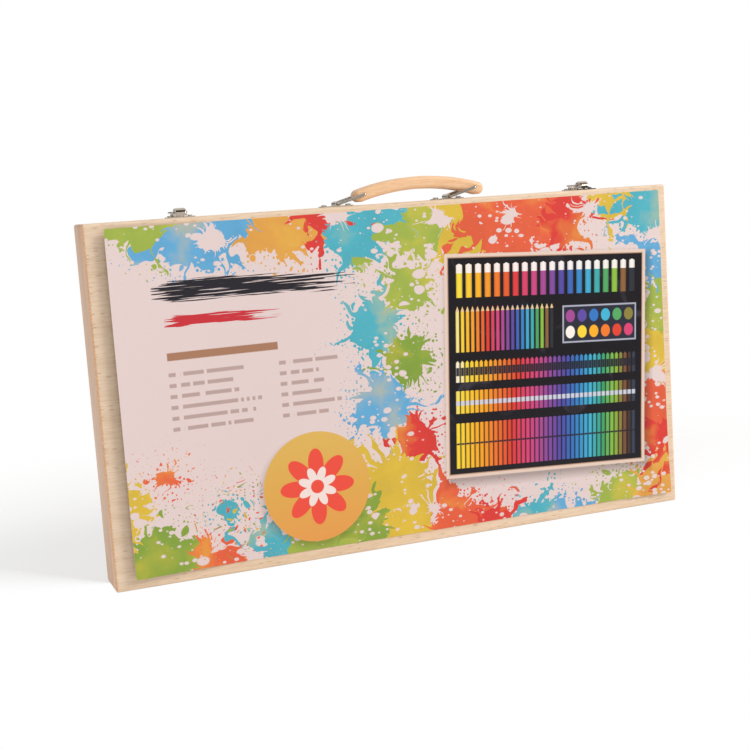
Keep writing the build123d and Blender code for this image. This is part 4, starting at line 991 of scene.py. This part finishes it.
# %% Draw the brush strokes
STROKES = [
    # left, right, middle, half width, ink
    (-204.0, -40.0, 224.0, 9.0, "#26242c"), (-196.0, -92.0, 202.0, 5.0, "#c8303a"),
]
HAIR_MM, HAIR_LENGTH_MM = 1.1, 45
ALL_ALONG = (0.5, 0.499)
STROKE_WAVES, STROKE_SWAY = 5.0, 0.2
FULL_WITHIN, HAIR_NEED, HAIR_EDGE = 0.6, (0.33, 0.66), (-0.01, 0.03, 0.0, 1.0)
DRY_ENDS, DRY_NEED = ((1.0, 0.6), (0.0, 0.1)), 0.28


def strokes(add, sheet, flat):
    drawn = add("VectorMath", "MULTIPLY", flat, (1 / HAIR_LENGTH_MM, 1 / HAIR_MM, 1))
    hairs = add("TexNoise", IN_PLANE, Vector=drawn, Scale=1.0, Detail=2.0)
    across, up, _ = add("SeparateXYZ", flat, out=None)
    for left, right, middle, half, code in STROKES:
        share = add("MapRange", across, left, right, 0.0, 1.0)
        wave = add("SINE", add("MULTIPLY", share, STROKE_WAVES))
        line = add("MULTIPLY_ADD", wave, half * STROKE_SWAY, middle)
        off = add("ABSOLUTE", add("SUBTRACT", up, line))
        need = add("MapRange", off, half * FULL_WITHIN, half, *HAIR_NEED)
        for end, start in DRY_ENDS:
            need = add("ADD", need, add("MapRange", share, start, end, 0.0, DRY_NEED))
        mask = add("MapRange", add("SUBTRACT", hairs, need), *HAIR_EDGE)
        mask = only(add, mask, ("LESS_THAN", off, half), ("COMPARE", share, *ALL_ALONG))
        sheet = add("Mix", COLOURS, mask, sheet, code)
    return sheet

# %% Draw the lines of bars
HEADING = ((-152.0, 176.0), (44.0, 3.0))
COLUMNS = [
    # left, longest, lowest, lines, pitch
    (-196.0, 74.0, 116.0, 6, 8.4), (-108.0, 50.0, 116.0, 6, 8.4),
]
BAR_HALF, NUMBER_W, WORD_FROM, LETTER_MM = 1.5, 5.5, 9.0, 2.3
SHORTEST, GAP_CHANCE, LINE_SEED = 0.6, 0.13, 37.0
RANDOM = {"noise_dimensions": "1D"}


def bars(add, sheet, flat):
    across, up, _ = add("SeparateXYZ", flat, out=None)
    sheet = lay(add, sheet, "#a87b60", outside(add, flat, *HEADING))
    for left, longest, low, count, pitch in COLUMNS:
        lines, number, off = pitches(add, up, low, pitch)
        along = add("SUBTRACT", across, left)
        chance = add("TexWhiteNoise", RANDOM, W=add("ADD", number, left))
        length = add("MapRange", chance, 0.0, 1.0, longest * SHORTEST, longest)
        letter = add("FLOOR", add("DIVIDE", along, LETTER_MM))
        gap = add("TexWhiteNoise", RANDOM, W=add("MULTIPLY_ADD", number, LINE_SEED, letter))
        words = only(add, add("GREATER_THAN", gap, GAP_CHANCE),
                     ("GREATER_THAN", along, WORD_FROM), ("LESS_THAN", along, length))
        first = add("COMPARE", along, NUMBER_W / 2, NUMBER_W / 2)
        inked = only(add, add("MAXIMUM", words, first), ("COMPARE", lines, count / 2, count / 2))
        line = add("MapRange", add("SUBTRACT", off, BAR_HALF), *SHARP)
        sheet = add("Mix", COLOURS, add("MULTIPLY", inked, line), sheet, "#b9a19c")
    return sheet

# %% [markdown]
# ### Varnish and board
#
# The printed face has a thin satin varnish: an even, soft sheen over the paper's fine tooth. The cut edge and
# the back are bare pulp board, which is quite dull, so the two get a material each.

# %% Print the card and give it its satin varnish
TOOTH_MM = 1.4
VARNISH_ROUGHNESS = (0.4, 0.5)


def card_print():
    material, add, shader, place = new_material("offset_print_satin", 0.45, Specular_IOR_Level=0.25)
    across, _, up = add("SeparateXYZ", place, out=None)
    flat = add("CombineXYZ", across, up)
    sheet = painted_ground(add, flat)
    for drawing in (strokes, bars, disc, board):
        sheet = drawing(add, sheet, flat)
    tooth = add("TexNoise", Vector=place, Scale=1 / TOOTH_MM, Detail=3.0)
    dull = add("MapRange", tooth, *NOISE_SPAN, *VARNISH_ROUGHNESS)
    feed(shader, (tooth, 0.08, 0.05), Base_Color=sheet, Roughness=dull)
    print("nodes in the print:", len(material.node_tree.nodes))
    return material


def card_core():
    """The cut edge and the back: uncoated white board."""
    material, add, shader, place = new_material("uncoated_board", 0.85)
    pulp = add("TexNoise", Vector=place, Scale=2.0, Detail=4.0)
    tone = add("ValToRGB", {"stops": [(0.35, "#e4dbd6"), (0.65, "#f3ece8")]}, pulp)
    feed(shader, (pulp, 0.2, 0.05), Base_Color=tone)
    return material


card.data.materials.append(card_print())
card.data.materials.append(card_core())

# %% [markdown]
# ## Floor, light and surroundings
#
# The case stands on white in the photograph. The floor is white behind the case, where it catches the
# shadow, and fades into the world behind it, which is plain white to the camera and in mirrors. In front it
# is clear to the eye, because the lid swings down below it when the case is opened as it stands. A hole
# would do this too, but its edge would show. Under the case this change is quick, and it grows softer to
# both sides, as the edge of a shadow does.

# %% Make the floor
FLOOR_SIZE = 60.0
FLOOR_FADE = (0.27, 0.7)
FLOOR_LEAST_CLEAR = 0.55
OPEN_FRONT = (0.012, 0.0235)
FRONT_SOFTENING = 3.0


def stage_sheet(name, size, centre, tilt, turn, code):
    """A flat sheet of the studio, which is no part of the case. It lies flat, is tilted up, then turned."""
    flat = bmesh.new()
    bmesh.ops.create_grid(flat, x_segments=1, y_segments=1, size=0.5)
    bmesh.ops.scale(flat, vec=(*size, 1), verts=flat.verts[:])
    mesh = bpy.data.meshes.new(name)
    flat.to_mesh(mesh)
    flat.free()
    made = bpy.data.objects.new(name, mesh)
    made.matrix_world = placed(centre, tilt, turn)
    bpy.context.scene.collection.objects.link(made)
    paint = new_material(name + "_paint", 0.9, Base_Color=code, Specular_IOR_Level=0.0)[0]
    mesh.materials.append(paint)
    return paint, made


def white_to_eye(add):
    """1 for rays that show the background: to the camera, in mirrors and through glass."""
    rays = add("LightPath", out=None)
    seen = add("MAXIMUM", rays["Is Camera Ray"], rays["Is Glossy Ray"])
    return add("MAXIMUM", seen, rays["Is Transmission Ray"])


floor_paint, floor = stage_sheet("floor", (FLOOR_SIZE, FLOOR_SIZE), (0, 0, 0), 0, 0, "#fbfbfb")
floor.visible_shadow = False
tree = floor_paint.node_tree
add = partial(add_node, tree)
smooth = {"interpolation_type": "SMOOTHSTEP"}
shaded = tree.nodes["Principled BSDF"].outputs["BSDF"]
from_case = add("TexCoord", out="Object")
distance = add("VectorMath", "LENGTH", from_case)
far = add("MapRange", smooth, distance, *FLOOR_FADE, FLOOR_LEAST_CLEAR, 1.0)
aside = add("ABSOLUTE", add("SeparateXYZ", from_case, out="X"))
aside = add("MAXIMUM", add("SUBTRACT", aside, case_high.x), 0.0)
shut_at = add("MULTIPLY_ADD", aside, FRONT_SOFTENING, OPEN_FRONT[1])
back = add("SeparateXYZ", from_case, out="Y")
in_front = add("MapRange", smooth, back, OPEN_FRONT[0], shut_at, 1.0, 0.0)
clear = add("MULTIPLY", add("MAXIMUM", far, in_front), white_to_eye(add))
faded = add("MixShader", clear, shaded, add("BsdfTransparent"))
feed(tree.nodes["Material Output"], Surface=faded)

# %% [markdown]
# ## Mirror cards and light
#
# Bright metal shows what stands round it. With white on all sides it would look like grey plastic, so dark
# cards hang where only mirrors see them, and give the nickel its dark lines. The light is softer than the
# white behind: an even grey world with one large soft lamp above and to the right, so that a colour renders
# about as it is written.

# %% Hang dark cards that only mirrors see
DARK_CARDS = [
    # size, place, tilt, turn
    ((0.9, 1.9), (-1.5, -0.9, 0.95), 90, 60),
    ((0.8, 1.9), (1.0, -1.5, 0.95), 90, -30),
    ((2.6, 1.1), (0.0, -0.7, 1.7), 0, 0),
    ((3.4, 2.4), (0.5, -1.5, 0.003), 0, 0),
    ((5.0, 0.5), (0.0, 2.2, 0.55), 90, 0),
]
for number, (size, place, tilt, turn) in enumerate(DARK_CARDS):
    dark = stage_sheet("dark_card_" + str(number), size, place, tilt, turn, "#121214")[1]
    for kind in ("camera", "diffuse", "transmission", "shadow"):
        setattr(dark, "visible_" + kind, False)

# %% Light the case
WORLD_LEVEL = 0.62
KEY_PLACE = (3.1, -2.3, 2.6)
KEY_SIZE = 1.9
KEY_WATTS = 128.0
world = bpy.data.worlds.new("studio")
bpy.context.scene.world = world
world.use_nodes = True
world.node_tree.nodes.clear()
add = partial(add_node, world.node_tree)
level = add("MapRange", white_to_eye(add), 0.0, 1.0, WORLD_LEVEL, 1.0)
add("OutputWorld", add("Background", (1.0, 1.0, 1.0, 1.0), level), out=None)

lamp = bpy.data.lights.new("key_lamp", "AREA")
lamp.shape = "DISK"
lamp.size = KEY_SIZE
lamp.energy = KEY_WATTS
lamp.color = colour("#fff8f0")[:3]
key = bpy.data.objects.new("key_lamp", lamp)
key.location = KEY_PLACE
aim = (case_low + case_high) / 2 - key.location
key.rotation_euler = aim.to_track_quat("-Z", "Y").to_euler()
bpy.context.scene.collection.objects.link(key)
print("world level:", WORLD_LEVEL, "key distance:", round(aim.length, 2))

# %% [markdown]
# ## Last steps
#
# The view transform stays plain, so that no tone curve changes the colours.

# %% Leave the camera's colours plain
bpy.context.scene.view_settings.view_transform = "Standard"
